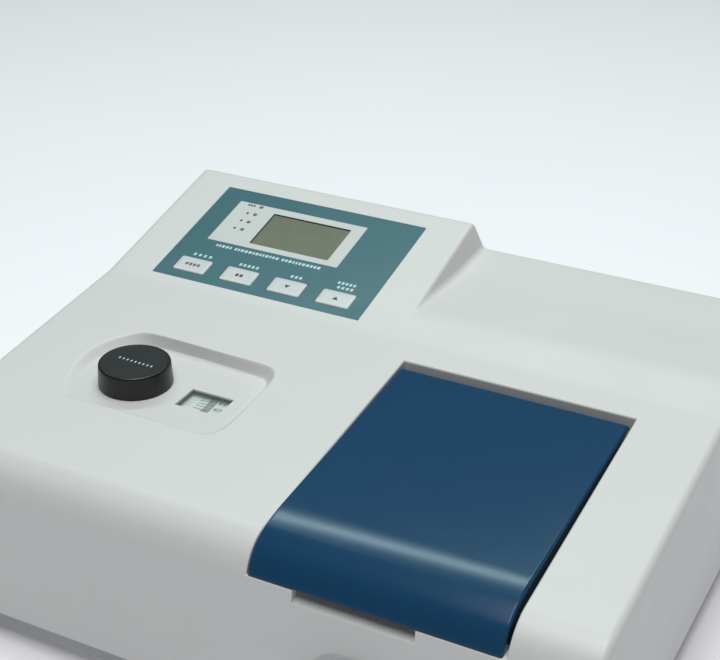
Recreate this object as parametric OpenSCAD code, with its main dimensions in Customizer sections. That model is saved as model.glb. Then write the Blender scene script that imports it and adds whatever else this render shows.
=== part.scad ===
// Benchtop UV/visible spectrophotometer, split-deck type.
// Millimetres. +Z up, front toward -Y, width along X. Origin: centre of the
// bounding box, on the bench under the feet.

/* [Part] */
// Which sub-part to draw

/* [Case] */
// Overall width of the case
W = 455; // [440:470]
// Y of the front face before centring
yF = -177; // [-185:-170]
// Y of the rear face before centring
yR = 179; // [170:190]
// Wall thickness of the moulded cover
wall = 2.8; // [2.0:0.1:3.5]
// Height of the deck at the rear edge of the sample opening
zD = 152; // [140:165]
// Fall of the deck toward the front, per mm
sF = 0.095; // [0.05:0.005:0.12]
// Height of the rear deck at its back edge
zBk = 163.9; // [160:168]
// Fall of the rear deck toward the front, per mm
sR = 0.0305; // [0.0:0.0005:0.1]
// Radius where the deck rolls over into the front face
rF = 26; // [20:32]

/* [Display hood] */
// Height of the hood at its rear edge
zH = 184.85; // [178:192]
// Rise of the sloped panel per mm
sP = 0.2305; // [0.18:0.005:0.26]
// X of the hood's right wall where it rises out of the deck
xH = 3.5; // [-5:10]
// Draft of the hood's right wall, mm out per mm down
dH = 0.485; // [0.3:0.005:0.6]
// Turn of the hood's right wall, degrees
aH = 5.02; // [0:0.01:8]

// X of the column of mode lamps
lx = -157; // [-162:-150]
// Distance up the panel of the top mode lamp
ly = 104.4; // [98:106]
// Pitch of the mode lamps
lp = 9.7; // [8:0.1:11]

/* [Wavelength drive] */
// X of the knob axis
kx = -129.7; // [-135:-125]
// Y of the knob axis
ky = -62.2; // [-66:-58]
// Radius of the knob at its foot
kr = 24.1; // [20:25]
// Height of the knob
kh = 15.6; // [12:18]
// Height of the recess floor
zR = 140; // [138:142]

/* [Sample compartment] */
// Left edge of the sample opening
ox0 = 20.5; // [18:24]
// Right edge of the sample opening
ox1 = 176.2; // [172:180]
// Rear edge of the sample opening
oy1 = 24; // [20:28]
// Height of the lid's top at its rear edge
zLr = 149.7; // [148:151]
// Fall of the lid's top toward the front, per mm
sL = 0.064; // [0.05:0.002:0.09]
// Radius of the lid's front roll
rL = 33; // [28:36]
// Height of the light beam
zB = 84; // [80:90]
// Y of the light beam through the sample
yB = -60; // [-70:-50]
// X of the pull rod
rx = 83; // [75:95]
// Height of the pull rod
rz = 59; // [56:64]
// Pitch of the cuvette positions
cp = 16; // [14:18]

/* [Hidden] */
$fn = 64;
YO = 9.2;
e0 = 0.01;
pa = atan(sP);
py0 = 43;
pz0 = zH - sP * (yR - py0);
nF = sqrt(1 + sF * sF);
gx = kx + 55;
gy = ky + 55.32;
hy = 12.7;
hz = 140;
mod = 0.8;

// front deck, sloped panel and rear deck planes, and where they meet
function zfront(y) = zD - sF * (oy1 - y);
function zpanel(y) = zH - sP * (yR - y);
function zrear(y) = zBk - sR * (yR - y);
yk = (zD - sF * oy1 - zH + sP * yR) / (sP - sF);
yb = (zBk - sR * yR - zH + sP * yR) / (sP - sR);
yw = 78;

// ---------- helpers ----------
module sh() { translate([0, YO, 0]) children(); }
module yz(x0, x1) { translate([x0, 0, 0]) rotate([90, 0, 90]) linear_extrude(x1 - x0) children(); }
module xz(y0, y1) { translate([0, y1, 0]) rotate([90, 0, 0]) linear_extrude(y1 - y0) children(); }
module box(x0, x1, y0, y1, z0, z1) { translate([x0, y0, z0]) cube([x1 - x0, y1 - y0, z1 - z0]); }
module rrect(x0, x1, y0, y1, r) {
  translate([x0 + r, y0]) square([x1 - x0 - 2 * r, y1 - y0]);
  translate([x0, y0 + r]) square([x1 - x0, y1 - y0 - 2 * r]);
  for (x = [x0 + r, x1 - r], y = [y0 + r, y1 - r]) translate([x, y]) circle(r);
}
module xcyl(x0, x1, y, z, r) { translate([x0, y, z]) rotate([0, 90, 0]) cylinder(r = r, h = x1 - x0); }
module ycyl(x, y0, y1, z, r) { translate([x, y1, z]) rotate([90, 0, 0]) cylinder(r = r, h = y1 - y0); }
module zcyl(x, y, z0, z1, r) { translate([x, y, z0]) cylinder(r = r, h = z1 - z0); }
module ztube(x, y, z0, z1, r, ri) { difference() { zcyl(x, y, z0, z1, r); zcyl(x, y, z0 - 1, z1 + 1, ri); } }
// panel frame: x across, y up the slope, z out of the panel
module panel() { translate([0, py0, pz0]) rotate([pa, 0, 0]) children(); }
// spur gear blank with straight-flank teeth, axis on Z
function gt(n) = 1.15 * (PI * (n + 1.8) / n - 0.75) / 2;
module gear2d(n, m, ph = 0) {
  r = n * m / 2;
  difference() {
    circle(r + m * 0.9);
    for (i = [0:n - 1]) rotate((i + ph) * 360 / n)
      polygon([[r - m * 1.1, -m * 0.6], [r - m * 1.1, m * 0.6], [r + m * 1.2, gt(n) * m], [r + m * 1.2, -gt(n) * m]]);
  }
}

// ---------- case profiles ----------
module deck_profile(e) {
  r = rF - e; yc = yF + rF; zc = zD - sF * (oy1 - yc) - rF * nF;
  translate([yc, zc]) circle(r);
  polygon(concat([[yc, zc], [yc - r * sF / nF, zc + r / nF], [yk, zfront(yk) - e * 1.01]],
    [for (t = [0:0.125:1]) [yb - 10 + 20 * t, (1 - t) * (1 - t) * zpanel(yb - 10) + 2 * t * (1 - t) * zpanel(yb) + t * t * zrear(yb + 10) - e * 1.01]],
    [[yR - e, zrear(yR) - e * 1.01], [yR - e, 22 - e0 * sign(e)], [yF + e, 22 - e0 * sign(e)], [yF + e, zc]]));
}
module hood_profile(e) {
  polygon([[20, 120], [20, pz0 - sP * (py0 - 20) - e / cos(pa)], [yR - e, zH - sP * e - e / cos(pa)], [yR - e, 120]]);
}
module hood_cut(e) {
  translate([xH, yw, zpanel(yw)]) rotate(-aH) xz(-150, 250)
    polygon([[-dH * 60 - e * 1.11, 60], [100, 60], [100, -80], [dH * 80 - e * 1.11, -80]]);
}
module case_solid(e) {
  yz(-W / 2 + e, W / 2 - e) deck_profile(e);
  difference() { yz(-W / 2 + e, 40) hood_profile(e); hood_cut(e); }
}
// plan outline of the knob recess, g = growth
module recess2d(g) {
  translate([-137.5, -56]) circle(40 + g);
  translate([-146.5, -46]) circle(30.5 + g);
  translate([-159.5, -91]) circle(6.3 + g);
  polygon([[-137.5, -56], [-137.5 - 0.924 * (40 + g), -56 - 0.383 * (40 + g)], [-159.5 - 0.924 * (6.3 + g), -91 - 0.383 * (6.3 + g)], [-159.5, -91]]);
  polygon([[-146.5, -15.5 + g], [-90, -15.5 + g], [-90, -97.3 - g], [-159.5, -97.3 - g], [-159.5, -91], [-137.5, -56], [-146.5, -46]]);
  rrect(-100, -47 + g, -97.3 - g, -15.5 + g, 9 + g);
}
module recess_solid(g, z0) {
  for (k = [0:3]) translate([0, 0, z0 + k * 2]) linear_extrude(k == 3 ? 30 : 2 + e0) recess2d(g - 2.4 + k * 0.8);
}
module vents(x0, n, p, z0, z1, y0, y1) {
  for (i = [0:n - 1]) xz(y0, y1) rrect(x0 + i * p, x0 + i * p + 3, z0, z1, 1.4);
}
module panel_holes(g) {
  panel() {
    translate([0, 0, -8]) linear_extrude(16) rrect(-143.5 - 10 * g, -79.3 + 10 * g, 62.7 - 10 * g, 100.3 + 10 * g, 1);
    for (cx = [-169.2, -130.5, -91.9, -53.3]) translate([0, 0, -8]) linear_extrude(16) rrect(cx - 13.3 - g, cx + 13.3 + g, 17.5 - g, 33.8 + g, 2);
    for (i = [0:3]) translate([lx, ly - i * lp, -8]) cylinder(r = 1.6 + g * 0.5, h = 16);
  }
}

// ---------- case ----------
module base_tray() sh() color([0.62, 0.64, 0.65]) {
  difference() {
    translate([0, 0, 12]) linear_extrude(18) rrect(-223.5, 223.5, yF + 4, yR - 4, 8);
    translate([0, 0, 13.6]) linear_extrude(40) rrect(-221.9, 221.9, yF + 5.6, yR - 5.6, 6.5);
    for (x = [-185, 185], y = [-140, 140]) zcyl(x, y, 0, 30, 2.25);
    for (x = [-210, 210], y = [-163, 163]) zcyl(x, y, 0, 30, 2.25);
    for (i = [0:9]) box(40 + i * 14, 44 + i * 14, 50, 120, 0, 20);
    for (i = [0:7]) box(-190 + i * 14, -186 + i * 14, 95, 145, 0, 20);
  }
  // stiffening channels carrying the optical bench
  for (y = [-120, 60]) box(-200, 0, y - 8, y + 8, 13.6, 42);
  box(30, 166, -150, -136, 13.6, 48);
  box(30, 166, -12, 2, 13.6, 48);
}
module feet() sh() color([0.08, 0.08, 0.09])
  for (x = [-185, 185], y = [-140, 140]) difference() {
    union() { translate([x, y, 0]) cylinder(r1 = 13, r2 = 15, h = 3); zcyl(x, y, 3, 12, 15); }
    zcyl(x, y, -1, 5, 6.5);
    zcyl(x, y, -1, 14, 2.25);
  }
module foot_screws() sh() color([0.72, 0.72, 0.74])
  for (x = [-185, 185], y = [-140, 140]) {
    difference() { zcyl(x, y, 2.6, 5, 4); translate([x, y, 2.5]) for (a = [0, 90]) rotate(a) cube([4.4, 0.9, 2.4], center = true); }
    zcyl(x, y, 4.9, 15.5, 2);
    translate([x, y, 13.6]) cylinder(r = 4, h = 3.2, $fn = 6);
  }
module cover_screws() sh() color([0.72, 0.72, 0.74])
  for (x = [-210, 210], y = [-163, 163]) {
    difference() { zcyl(x, y, 9.6, 12, 4); translate([x, y, 9.5]) for (a = [0, 90]) rotate(a) cube([4.4, 0.9, 2.4], center = true); }
    zcyl(x, y, 11.9, 26, 2);
  }
module top_cover() sh() color([0.84, 0.86, 0.85]) difference() {
  union() {
    difference() {
      intersection() { case_solid(0); linear_extrude(200) rrect(-W / 2, W / 2, yF, yR, 8); }
      case_solid(wall);
      box(-W / 2 + wall, W / 2 - wall, yF + wall, yR - wall, 10, 60);
    }
    // knob recess tub
    intersection() { case_solid(0.5); translate([0, 0, zR - 2.5]) linear_extrude(30) recess2d(5); }
    // walls round the sample opening
    intersection() { case_solid(0.5); box(ox0 - 2.5, ox1 + 2.5, yF + 1, oy1 + 2.5, 122, 160); }
    intersection() { case_solid(0.5); box(ox0 - 2.5, ox1 + 2.5, yF + 1, yF + 13, 101, 116); }
    ycyl(rx, yF + 1, yF + 9.5, rz, 26);
    // screw bosses
    for (x = [-210, 210], y = [-163, 163]) zcyl(x, y, 13.6, 60, 5);
    intersection() { case_solid(0.5); for (x = [-210, 210], y = [-163, 163]) zcyl(x, y, 13.6, 180, 5); }
  }
  // knob recess
  recess_solid(0, zR);
  zcyl(kx, ky, 120, 150, 6.2);
  translate([0, 0, 120]) linear_extrude(30) rrect(-92.5, -61.8, -73.7, -52.3, 0.8);
  translate([0, 0, 120]) linear_extrude(zR - 1.4 - 120) rrect(-94.3, -60, -75.5, -50.5, 1.2);
  // sample opening, through the deck and the upper front
  box(ox0, ox1, yF + 3, oy1, 115, 200);
  box(ox0, ox1, yF - 5, yF + 14, 115, 200);
  box(ox0 + 1.5, ox1 - 1.5, yF + 12.5, oy1 - 1.5, 90, 200);
  // finger notch under the lid
  yz(49.9, 124.7) polygon([[yF - 5, 106.7], [yF, 106.7], [yF + 10, 111.5], [yF + 10, 118], [yF - 5, 118]]);
  // round well and bore for the pull rod
  ycyl(rx, yF - 10, yF + 7, rz, 23.4);
  ycyl(rx, yF - 10, yF + 20, rz, 8.05);
  // display panel seat and openings
  panel() translate([0, 0, -0.6]) linear_extrude(10) rrect(-194.3, -28.3, 10, 120.6, 2.5);
  panel_holes(0.4);
  // rear opening for the service panel
  xz(yR - 20, yR + 20) rrect(-204, 204, 15, 134, 4);
  box(-204, 204, yR - 20, yR + 20, 10, 60);
  // cover screw bores
  for (x = [-210, 210], y = [-163, 163]) zcyl(x, y, 10, 34, 2.02);
  // side louvres beside the lamps
  for (i = [0:8]) yz(W / 2 - 6, W / 2 + 6) translate([60 + i * 9, 60]) rrect(0, 3.6, 0, 40, 1.7);
  for (i = [0:8]) yz(-W / 2 - 6, -W / 2 + 6) translate([60 + i * 9, 60]) rrect(0, 3.6, 0, 40, 1.7);
}
module rear_panel() sh() color([0.55, 0.57, 0.58]) difference() {
  union() { box(-209, 209, yR - 4.4, yR - 2.9, 30, 138); box(-200, 200, yR - 16, yR - 4.3, 30, 31.5); }
  xz(yR - 10, yR + 10) translate([140, 88]) circle(37.5);
  for (dx = [-35.75, 35.75], dz = [-35.75, 35.75]) ycyl(140 + dx, yR - 10, yR + 10, 88 + dz, 2.2);
  box(-163.6, -136.4, yR - 10, yR + 10, 65.4, 84.6);
  box(-110.6, -97.4, yR - 10, yR + 10, 65.2, 84.8);
  ycyl(-66, yR - 10, yR + 10, 75, 6.1);
  xz(yR - 10, yR + 10) rrect(-27.6, -4.4, 69.3, 80.7, 2);
  vents(20, 10, 7, 60, 115, yR - 10, yR + 10);
}

// ---------- control panel ----------
module control_overlay() sh() color([0.26, 0.43, 0.46]) difference() {
  panel() translate([0, 0, -0.6]) linear_extrude(0.6) rrect(-194.1, -28.5, 10.2, 120.4, 2.4);
  panel_holes(0);
}
module lcd_glass() sh() color([0.46, 0.47, 0.41]) panel() translate([0, 0, -2.0]) linear_extrude(1.1) rrect(-143.4, -79.4, 62.8, 100.2, 0.5);
module lcd_module() sh() color([0.15, 0.16, 0.16]) panel() {
  difference() {
    translate([0, 0, -8.6]) linear_extrude(7.9) rrect(-147, -75.8, 59.2, 103.8, 1);
    translate([0, 0, -2.0]) linear_extrude(4) rrect(-143.5, -79.3, 62.7, 100.3, 0.6);
  }
}
module mode_leds() sh() color([0.75, 0.12, 0.1]) panel() for (i = [0:3]) translate([lx, ly - i * lp, 0]) {
  translate([0, 0, -10.4]) cylinder(r = 1.9, h = 1.2);
  translate([0, 0, -9.4]) cylinder(r = 1.45, h = 8.6);
  translate([0, 0, -0.8]) sphere(1.45);
}
module keycap(cx) sh() color([0.82, 0.83, 0.82]) panel() {
  translate([0, 0, -1.6]) linear_extrude(2.4) rrect(cx - 12.95, cx + 12.95, 17.9, 33.4, 1.7);
  translate([0, 0, -2.6]) linear_extrude(1.1) rrect(cx - 11.8, cx + 11.8, 19.1, 32.2, 1.2);
  translate([cx, 25.6, -7.6]) cylinder(r = 2.2, h = 5.5);
}
module mode_key() keycap(-169.2);
module print_key() keycap(-130.5);
module down_key() keycap(-91.9);
module up_key() keycap(-53.3);
module key_switches() sh() color([0.12, 0.12, 0.13]) panel() for (cx = [-169.2, -130.5, -91.9, -53.3]) difference() {
  translate([0, 0, -10.4]) linear_extrude(3.9) rrect(cx - 6, cx + 6, 19.6, 31.6, 0.8);
  translate([cx, 25.6, -9]) cylinder(r = 2.3, h = 8);
}
module display_pcb() sh() color([0.08, 0.33, 0.17]) panel() {
  difference() {
    translate([0, 0, -12]) linear_extrude(1.6) rrect(-191, -33, 14, 112, 2);
    for (x = [-187, -37], y = [18, 108]) translate([x, y, -14]) cylinder(r = 1.7, h = 6);
  }
  for (x = [-187, -37], y = [18, 108]) difference() {
    translate([x, y, -10.4]) cylinder(r = 3, h = 7.6);
    translate([x, y, -11]) cylinder(r = 1.3, h = 9);
  }
  for (y = [66, 96]) translate([-111, y, -10.4]) translate([-6, -2, 0]) cube([12, 4, 1.8]);
  translate([-70, 40, -15]) cube([24, 16, 3]);
  translate([-160, 44, -14.4]) cube([14, 14, 2.4]);
}

// ---------- wavelength knob and drive ----------
module wavelength_knob() sh() color([0.09, 0.09, 0.1]) difference() {
  union() {
    translate([kx, ky, zR + 0.6]) cylinder(r1 = kr, r2 = kr - 0.8, h = kh - 1.8);
    translate([kx, ky, zR + kh - 1.2]) cylinder(r1 = kr - 0.8, r2 = kr - 1.8, h = 1.2);
  }
  translate([kx, ky, zR - 1]) difference() { cylinder(r = 20.2, h = kh - 3); translate([0, 0, -1]) cylinder(r = 7.5, h = kh); }
  zcyl(kx, ky, zR - 1, zR + 11.5, 4.01);
  translate([kx, ky, zR + 4]) rotate([0, 90, 90]) cylinder(r = 1.65, h = 30);
}
module rotate_about(x, y, a) { translate([x, y, 0]) rotate(a) translate([-x, -y, 0]) children(); }
module knob_grub_screw() sh() color([0.3, 0.3, 0.32]) difference() {
  ycyl(kx, ky + 4, ky + 9.5, zR + 4, 1.64);
  translate([kx, ky + 10, zR + 4]) rotate([90, 0, 0]) cylinder(r = 0.85, h = 2.4, $fn = 6);
}
module knob_shaft() sh() color([0.7, 0.7, 0.72]) {
  difference() { zcyl(kx, ky, 105, zR + 11.4, 4); box(kx - 5, kx + 5, ky + 3.99, ky + 6, zR + 1, zR + 7); }
  translate([kx, ky, 117]) rotate(270) linear_extrude(4) gear2d(15, mod);
  zcyl(kx, ky, 121, 122.2, 5.2);
  zcyl(kx, ky, 106, 107.2, 5.4);
}
module shaft_bushes() sh() color([0.72, 0.55, 0.25]) {
  ztube(kx, ky, 107.3, 116.6, 6.5, 4.05);
  ztube(kx, ky, 112, 114, 10, 6);
  ztube(gx, gy, 107.0, 118, 7, 4.05);
  ztube(gx, gy, 112, 113.5, 10, 6);
  ztube(kx, ky - 24, 107.3, 116.6, 5, 2.55);
}
module layshaft() sh() color([0.75, 0.6, 0.3]) {
  zcyl(kx, ky - 24, 106, 129, 2.5);
  rotate_about(kx, ky - 24, 90) translate([kx, ky - 24, 117]) linear_extrude(4) gear2d(45, mod, 0.5);
  zcyl(kx, ky - 24, 121, 123, 4.6);
  rotate_about(kx, ky - 24, 90) translate([kx, ky - 24, 123]) linear_extrude(4) gear2d(15, mod, 0.5);
}
module dial_disc() sh() color([0.8, 0.84, 0.82]) {
  difference() {
    union() {
      zcyl(kx, ky, 122.5, 127, 8);
      translate([kx, ky, 123]) rotate(270) linear_extrude(4) gear2d(45, mod);
      translate([kx, ky, 127.2]) rotate(45.17) linear_extrude(4.4) gear2d(15, mod);
      zcyl(kx, ky, 126.9, 127.3, 7);
      zcyl(kx, ky, 131.5, 136.4, 10);
      zcyl(kx, ky, 133.2, 134.4, 69);
    }
    zcyl(kx, ky, 120, 140, 4.05);
    for (a = [0:60:300]) rotate_about(kx, ky, a) zcyl(kx + 25, ky, 130, 140, 7);
  }
}
module dial_window() sh() color([0.72, 0.78, 0.76, 0.5]) {
  translate([0, 0, zR - 2.4]) linear_extrude(1) rrect(-94.1, -60.2, -75.3, -50.7, 1);
}
module drive_plate() sh() color([0.66, 0.68, 0.7]) difference() {
  translate([0, 0, 114]) linear_extrude(2) rrect(-180, -40, -112, 0, 6);
  zcyl(kx, ky, 110, 120, 6.5);
  zcyl(kx, ky - 24, 110, 120, 5);
  zcyl(gx, gy, 110, 120, 11);
  for (x = [-172, -48], y = [-104, -8]) zcyl(x, y, 110, 120, 1.6);
  box(-100, -60, -60, -30, 110, 120);
}
module drive_pillars() sh() color([0.7, 0.7, 0.72]) for (x = [-172, -48], y = [-104, -8]) {
  translate([x, y, 112]) cylinder(r = 4, h = 2, $fn = 6);
  zcyl(x, y, 108, 116, 1.5);
  difference() { zcyl(x, y, 116, 117.8, 3); box(x - 4, x + 4, y - 0.4, y + 0.4, 117, 119); }
}
module sector_arm() sh() color([0.75, 0.6, 0.3]) difference() {
  translate([gx, gy, 127.6]) union() {
    linear_extrude(3.6) intersection() {
      difference() {
        circle(72.7);
        for (i = [-15:14]) rotate(225.17 + (i + 0.5) * 2)
          polygon([[71.1, -0.5], [71.1, 0.5], [73, 1.08], [73, -1.08]]);
        difference() { circle(66); polygon([[0, 0], [-70, -56], [-62, -64], [-56, -70]]); circle(11); }
      }
      union() { polygon([[0, 0], [-90, -48], [-90, -90], [-48, -90]]); circle(11); }
    }
    translate([0, 0, -8]) cylinder(r = 8, h = 8);
  }
  zcyl(gx, gy, 110, 140, 4.0);
}
module grating_table() sh() color([0.6, 0.62, 0.64]) {
  zcyl(gx, gy, 100, 132.5, 3.99);
  zcyl(gx, gy, 96.8, 105.5, 14);
  rotate_about(gx, gy, 14) { box(gx - 6, gx + 14, gy - 18, gy + 18, 64, 97); }
  zcyl(gx, gy, 56.5, 64.2, 8);
}
module grating() sh() color([0.75, 0.7, 0.85]) rotate_about(gx, gy, 14) box(gx - 12, gx - 6, gy - 16, gy + 16, 66, 96);
module mono_box() sh() color([0.3, 0.31, 0.33]) difference() {
  box(-214, 8, -150, 76, 42, 108);
  difference() { box(-209, 3, -145, 71, 48, 120); zcyl(gx, gy, 40, 56.2, 10); }
  xcyl(0, 12, 48, zB, 9.05);
  xcyl(0, 12, yB, zB, 9.05);
  for (x = [-211.5, 5.5], y = [-147.5, 73.5]) zcyl(x, y, 98, 120, 1.25);
}
module mono_cover() sh() color([0.34, 0.35, 0.37]) difference() {
  union() { box(-214, 8, -150, 76, 108, 112); }
  zcyl(kx, ky, 100, 120, 7);
  zcyl(kx, ky - 24, 100, 120, 5.5);
  zcyl(gx, gy, 100, 120, 7.05);
  for (x = [-172, -48], y = [-104, -8]) zcyl(x, y, 100, 120, 1.52);
  for (x = [-211.5, 5.5], y = [-147.5, 73.5]) zcyl(x, y, 100, 120, 1.7);
}
module mirror_unit(x, y, a) {
  rotate_about(x, y, a) {
    difference() { xcyl(x, x + 9, y, zB, 21); translate([x + 250, y, zB]) sphere(243.5, $fn = 96); }
    box(x - 6, x, y - 24, y + 24, 48, 107);
    box(x - 6, x + 14, y - 24, y + 24, 48, 53);
  }
}
module mono_mirrors() sh() color([0.75, 0.77, 0.8]) { mirror_unit(-196, 44, -11); mirror_unit(-196, -56, 11); }
module slit_unit(y) {
  difference() {
    union() { xcyl(-2, 9.5, y, zB, 9); xcyl(8, 11, y, zB, 15); }
    xcyl(1, 12, y, zB, 6);
    box(-4, 4, y - 0.3, y + 0.3, zB - 5, zB + 5);
    for (a = [45, 135, 225, 315]) translate([0, y, zB]) rotate([a, 0, 0]) xcyl(0, 20, 0, 12, 1.2);
  }
}
module entrance_slit() sh() color([0.2, 0.2, 0.22]) slit_unit(48);
module exit_slit() sh() color([0.2, 0.2, 0.22]) slit_unit(yB);
module condenser_tube() sh() color([0.25, 0.25, 0.27]) {
  difference() { xcyl(11, 58, 48, zB, 14); xcyl(10, 60, 48, zB, 12); }
  translate([30, 48, zB]) rotate([0, 90, 0]) scale([1, 1, 0.4]) sphere(12.4);
}

// ---------- sample compartment ----------
module sample_tray() sh() color([0.1, 0.1, 0.11]) difference() {
  union() {
    box(24, 172, -163, 18, 48, 121.5);
    box(19, 177, -163, 22.5, 120, 121.5);
  }
  box(25.6, 170.4, -161.4, 16.4, 49.6, 130);
  box(15, 25.7, -170, -116.5, 115.2, 130);
  box(169.3, 180, -170, -116.5, 115.2, 130);
  xcyl(20, 30, yB, zB, 8.05);
  xcyl(166, 180, yB, zB, 8.05);
  ycyl(rx, -170, -158, rz, 7.05);
  for (x = [rx - 24, rx + 24]) for (y = [-170, 10]) ycyl(x, y, y + 12, 58, 3.02);
  for (x = [41.5, 152.5]) zcyl(x, 20, 110, 130, 1.6);
}
module tray_windows() sh() color([0.8, 0.86, 0.9, 0.5]) { xcyl(22.6, 25.9, yB, zB, 8); xcyl(170.1, 173.6, yB, zB, 8); }
module guide_rods() sh() color([0.78, 0.78, 0.8]) for (x = [rx - 24, rx + 24]) ycyl(x, -163.4, 18.4, 58, 3);
module cuvette_carriage() sh() color([0.14, 0.14, 0.15]) {
  difference() {
    union() { box(rx - 31, rx + 31, yB - 13, yB + 61, 52, 64); box(rx - 12, rx + 12, yB - 11, yB + 59, 63.9, 104); }
    for (x = [rx - 24, rx + 24]) ycyl(x, yB - 20, yB + 70, 58, 3.05);
    for (i = [0:3]) {
      box(rx - 6.4, rx + 6.4, yB + i * cp - 6.4, yB + i * cp + 6.4, 66, 110);
      xcyl(rx - 20, rx + 20, yB + i * cp, zB, 4);
    }
    ycyl(rx, yB - 20, yB - 4, rz, 2.5);
    for (i = [0:3]) xcyl(rx - 33, rx - 29.6, yB + 6 + i * cp, 60, 1.6);
  }
}
module pull_rod() sh() color([0.8, 0.8, 0.82]) { ycyl(rx, yF - 14, yB - 13, rz, 3.5); ycyl(rx, yB - 13.5, yB - 5, rz, 2.5); }
module pull_rod_knob() sh() color([0.08, 0.08, 0.09]) difference() {
  union() {
    translate([rx, yF - 12, rz]) rotate([90, 0, 0]) cylinder(r1 = 8, r2 = 11, h = 4);
    ycyl(rx, yF - 20, yF - 15.95, rz, 11);
    translate([rx, yF - 20, rz]) rotate([90, 0, 0]) cylinder(r1 = 11, r2 = 9, h = 2);
  }
  ycyl(rx, yF - 14.01, yF, rz, 3.51);
}
module rod_bush() sh() color([0.5, 0.5, 0.51]) difference() {
  union() { ycyl(rx, yF + 5, yF + 7, rz, 12); ycyl(rx, yF + 6.9, yF + 13, rz, 8); ycyl(rx, yF + 12.9, -158.5, rz, 7); }
  ycyl(rx, yF - 10, -150, rz, 3.55);
  ycyl(rx, yF + 4, yF + 5.8, rz, 9);
}
module carriage_detent() sh() color([0.75, 0.75, 0.78]) {
  box(25.6, 27, yB - 4, yB + 16, 52, 66);
  box(27, rx - 32.9, yB + 4, yB + 8, 58.8, 61.2);
  translate([rx - 32.6, yB + 6, 60]) sphere(1.5, $fn = 32);
}
function zlid(y) = zLr + sL * (y - 20.7);
module lid_profile(e) {
  r = rL - e; yc = yF - 0.5 + rL; s = sL; n = sqrt(1 + s * s);
  zc = zlid(yc) - rL * n;
  difference() {
    union() {
      translate([yc, zc]) circle(r, $fn = 96);
      polygon([[yc, zc - 10], [yc, zc], [yc - r * s / n, zc + r / n], [16.7, zlid(16.7) - e * n], [16.7, 146.4], [20.7, 146.4], [20.7, 130], [yc, 116 - 10]]);
    }
    translate([yc - 40, 60]) square([300, 56]);
  }
}
module lid_side(e) { intersection() { lid_profile(e); polygon([[-200, 100], [-140, 116], [-120, 126], [hy - 9, 136], [hy - 9, 160], [-200, 160]]); } }
module sample_lid() sh() color([0.13, 0.27, 0.4]) {
  difference() {
    union() {
      intersection() {
        yz(21, 173.8) difference() { lid_profile(0); lid_profile(3); polygon([[-120, 100], [30, 100], [30, 146.4], [20.8, 146.4], [16.7, 146.3], [-120, 132]]); }
        box(0, 200, -200, 21, 116, 160);
      }
      yz(21, 173.8) { polygon([[0, zlid(0) - 3.2], [16.8, 146.35], [16.8, zlid(16.8)], [0, zlid(0)]]); translate([16.7, zlid(16.7) - 4]) intersection() { circle(4); translate([-0.1, 0.9]) square([5, 4]); } }
      yz(21, 23.6) lid_side(0.2);
      yz(171.2, 173.8) lid_side(0.2);
    }
  }
  for (x = [41, 149]) difference() {
    yz(x, x + 4) union() { translate([hy, hz]) circle(4.2); polygon([[hy - 12, 145.9], [hy - 4.2, hz], [hy + 4.2, hz], [hy + 4.2, 146.9]]); }
    xcyl(x - 1, x + 5, hy, hz, 2.05);
  }
}
module lid_baffle() sh() color([0.06, 0.06, 0.07]) {
  yz(31, 163) polygon([[-140, 130.6], [-2, 139.9], [-2, 141.7], [-140, 132.4]]);
  intersection() {
    for (x = [45, 149], y = [-128, -18]) zcyl(x, y, 125, 150, 3);
    yz(30, 164) polygon([[-150, 131], [0, 140.9], [0, zlid(0) - 3.02], [-150, zlid(-150) - 3.02]]);
  }
}
module hinge_brackets() sh() color([0.2, 0.2, 0.22]) for (x = [35.5, 46, 143.5, 154]) difference() {
  union() {
    yz(x, x + 4.5) union() { translate([hy, hz]) circle(4.4); translate([hy - 4.4, 123]) square([6.2, hz - 123]); }
    box(x, x + 4.5, hy - 4.4, 21.5, 121.5, 124);
  }
  xcyl(x - 1, x + 6, hy, hz, 2.0);
}
module hinge_pins() sh() color([0.78, 0.78, 0.8]) for (x = [34.5, 142.5]) xcyl(x, x + 17, hy, hz, 2);

// ---------- light source and detector ----------
module lamp_house() sh() color([0.6, 0.6, 0.62]) difference() {
  box(58, 180, 32, 146, 13.6, 128);
  difference() { box(59.2, 178.8, 33.2, 150, 14.8, 126.8); ztube(105, 48, 10, 40, 8, 5.05); zcyl(150, 74, 10, 25.2, 14); zcyl(105, 110, 10, 25.2, 16); zcyl(105, 48, 10, 25.2, 8); }
  xcyl(50, 70, 48, zB, 12);
  for (i = [0:7]) box(75 + i * 12, 79 + i * 12, 60, 130, 120, 130);
}
module halogen_lamp() sh() color([0.85, 0.87, 0.9]) {
  zcyl(150, 74, 25.2, 60, 12);
  zcyl(150, 74, 60, 70, 6);
  zcyl(150, 74, 70, 92, 4.8);
  translate([150, 74, 92]) sphere(4.8);
}
module deuterium_lamp() sh() color([0.82, 0.84, 0.86]) {
  zcyl(105, 110, 25.2, 46, 14);
  zcyl(105, 110, 46, 104, 15);
  translate([105, 110, 104]) scale([1, 1, 0.5]) sphere(15);
}
module lamp_mirror() sh() color([0.7, 0.72, 0.75]) {
  zcyl(105, 48, 25.2, 62, 5);
  rotate_about(105, 48, 45) { box(102, 108, 36, 60, 61.8, 104); }
}
module detector_housing() sh() color([0.28, 0.29, 0.31]) difference() {
  box(172, 214, -88, -32, 58, 112);
  box(180, 212, -86, -34, 60, 110);
  xcyl(170, 184, yB, zB, 8.05);
}

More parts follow.
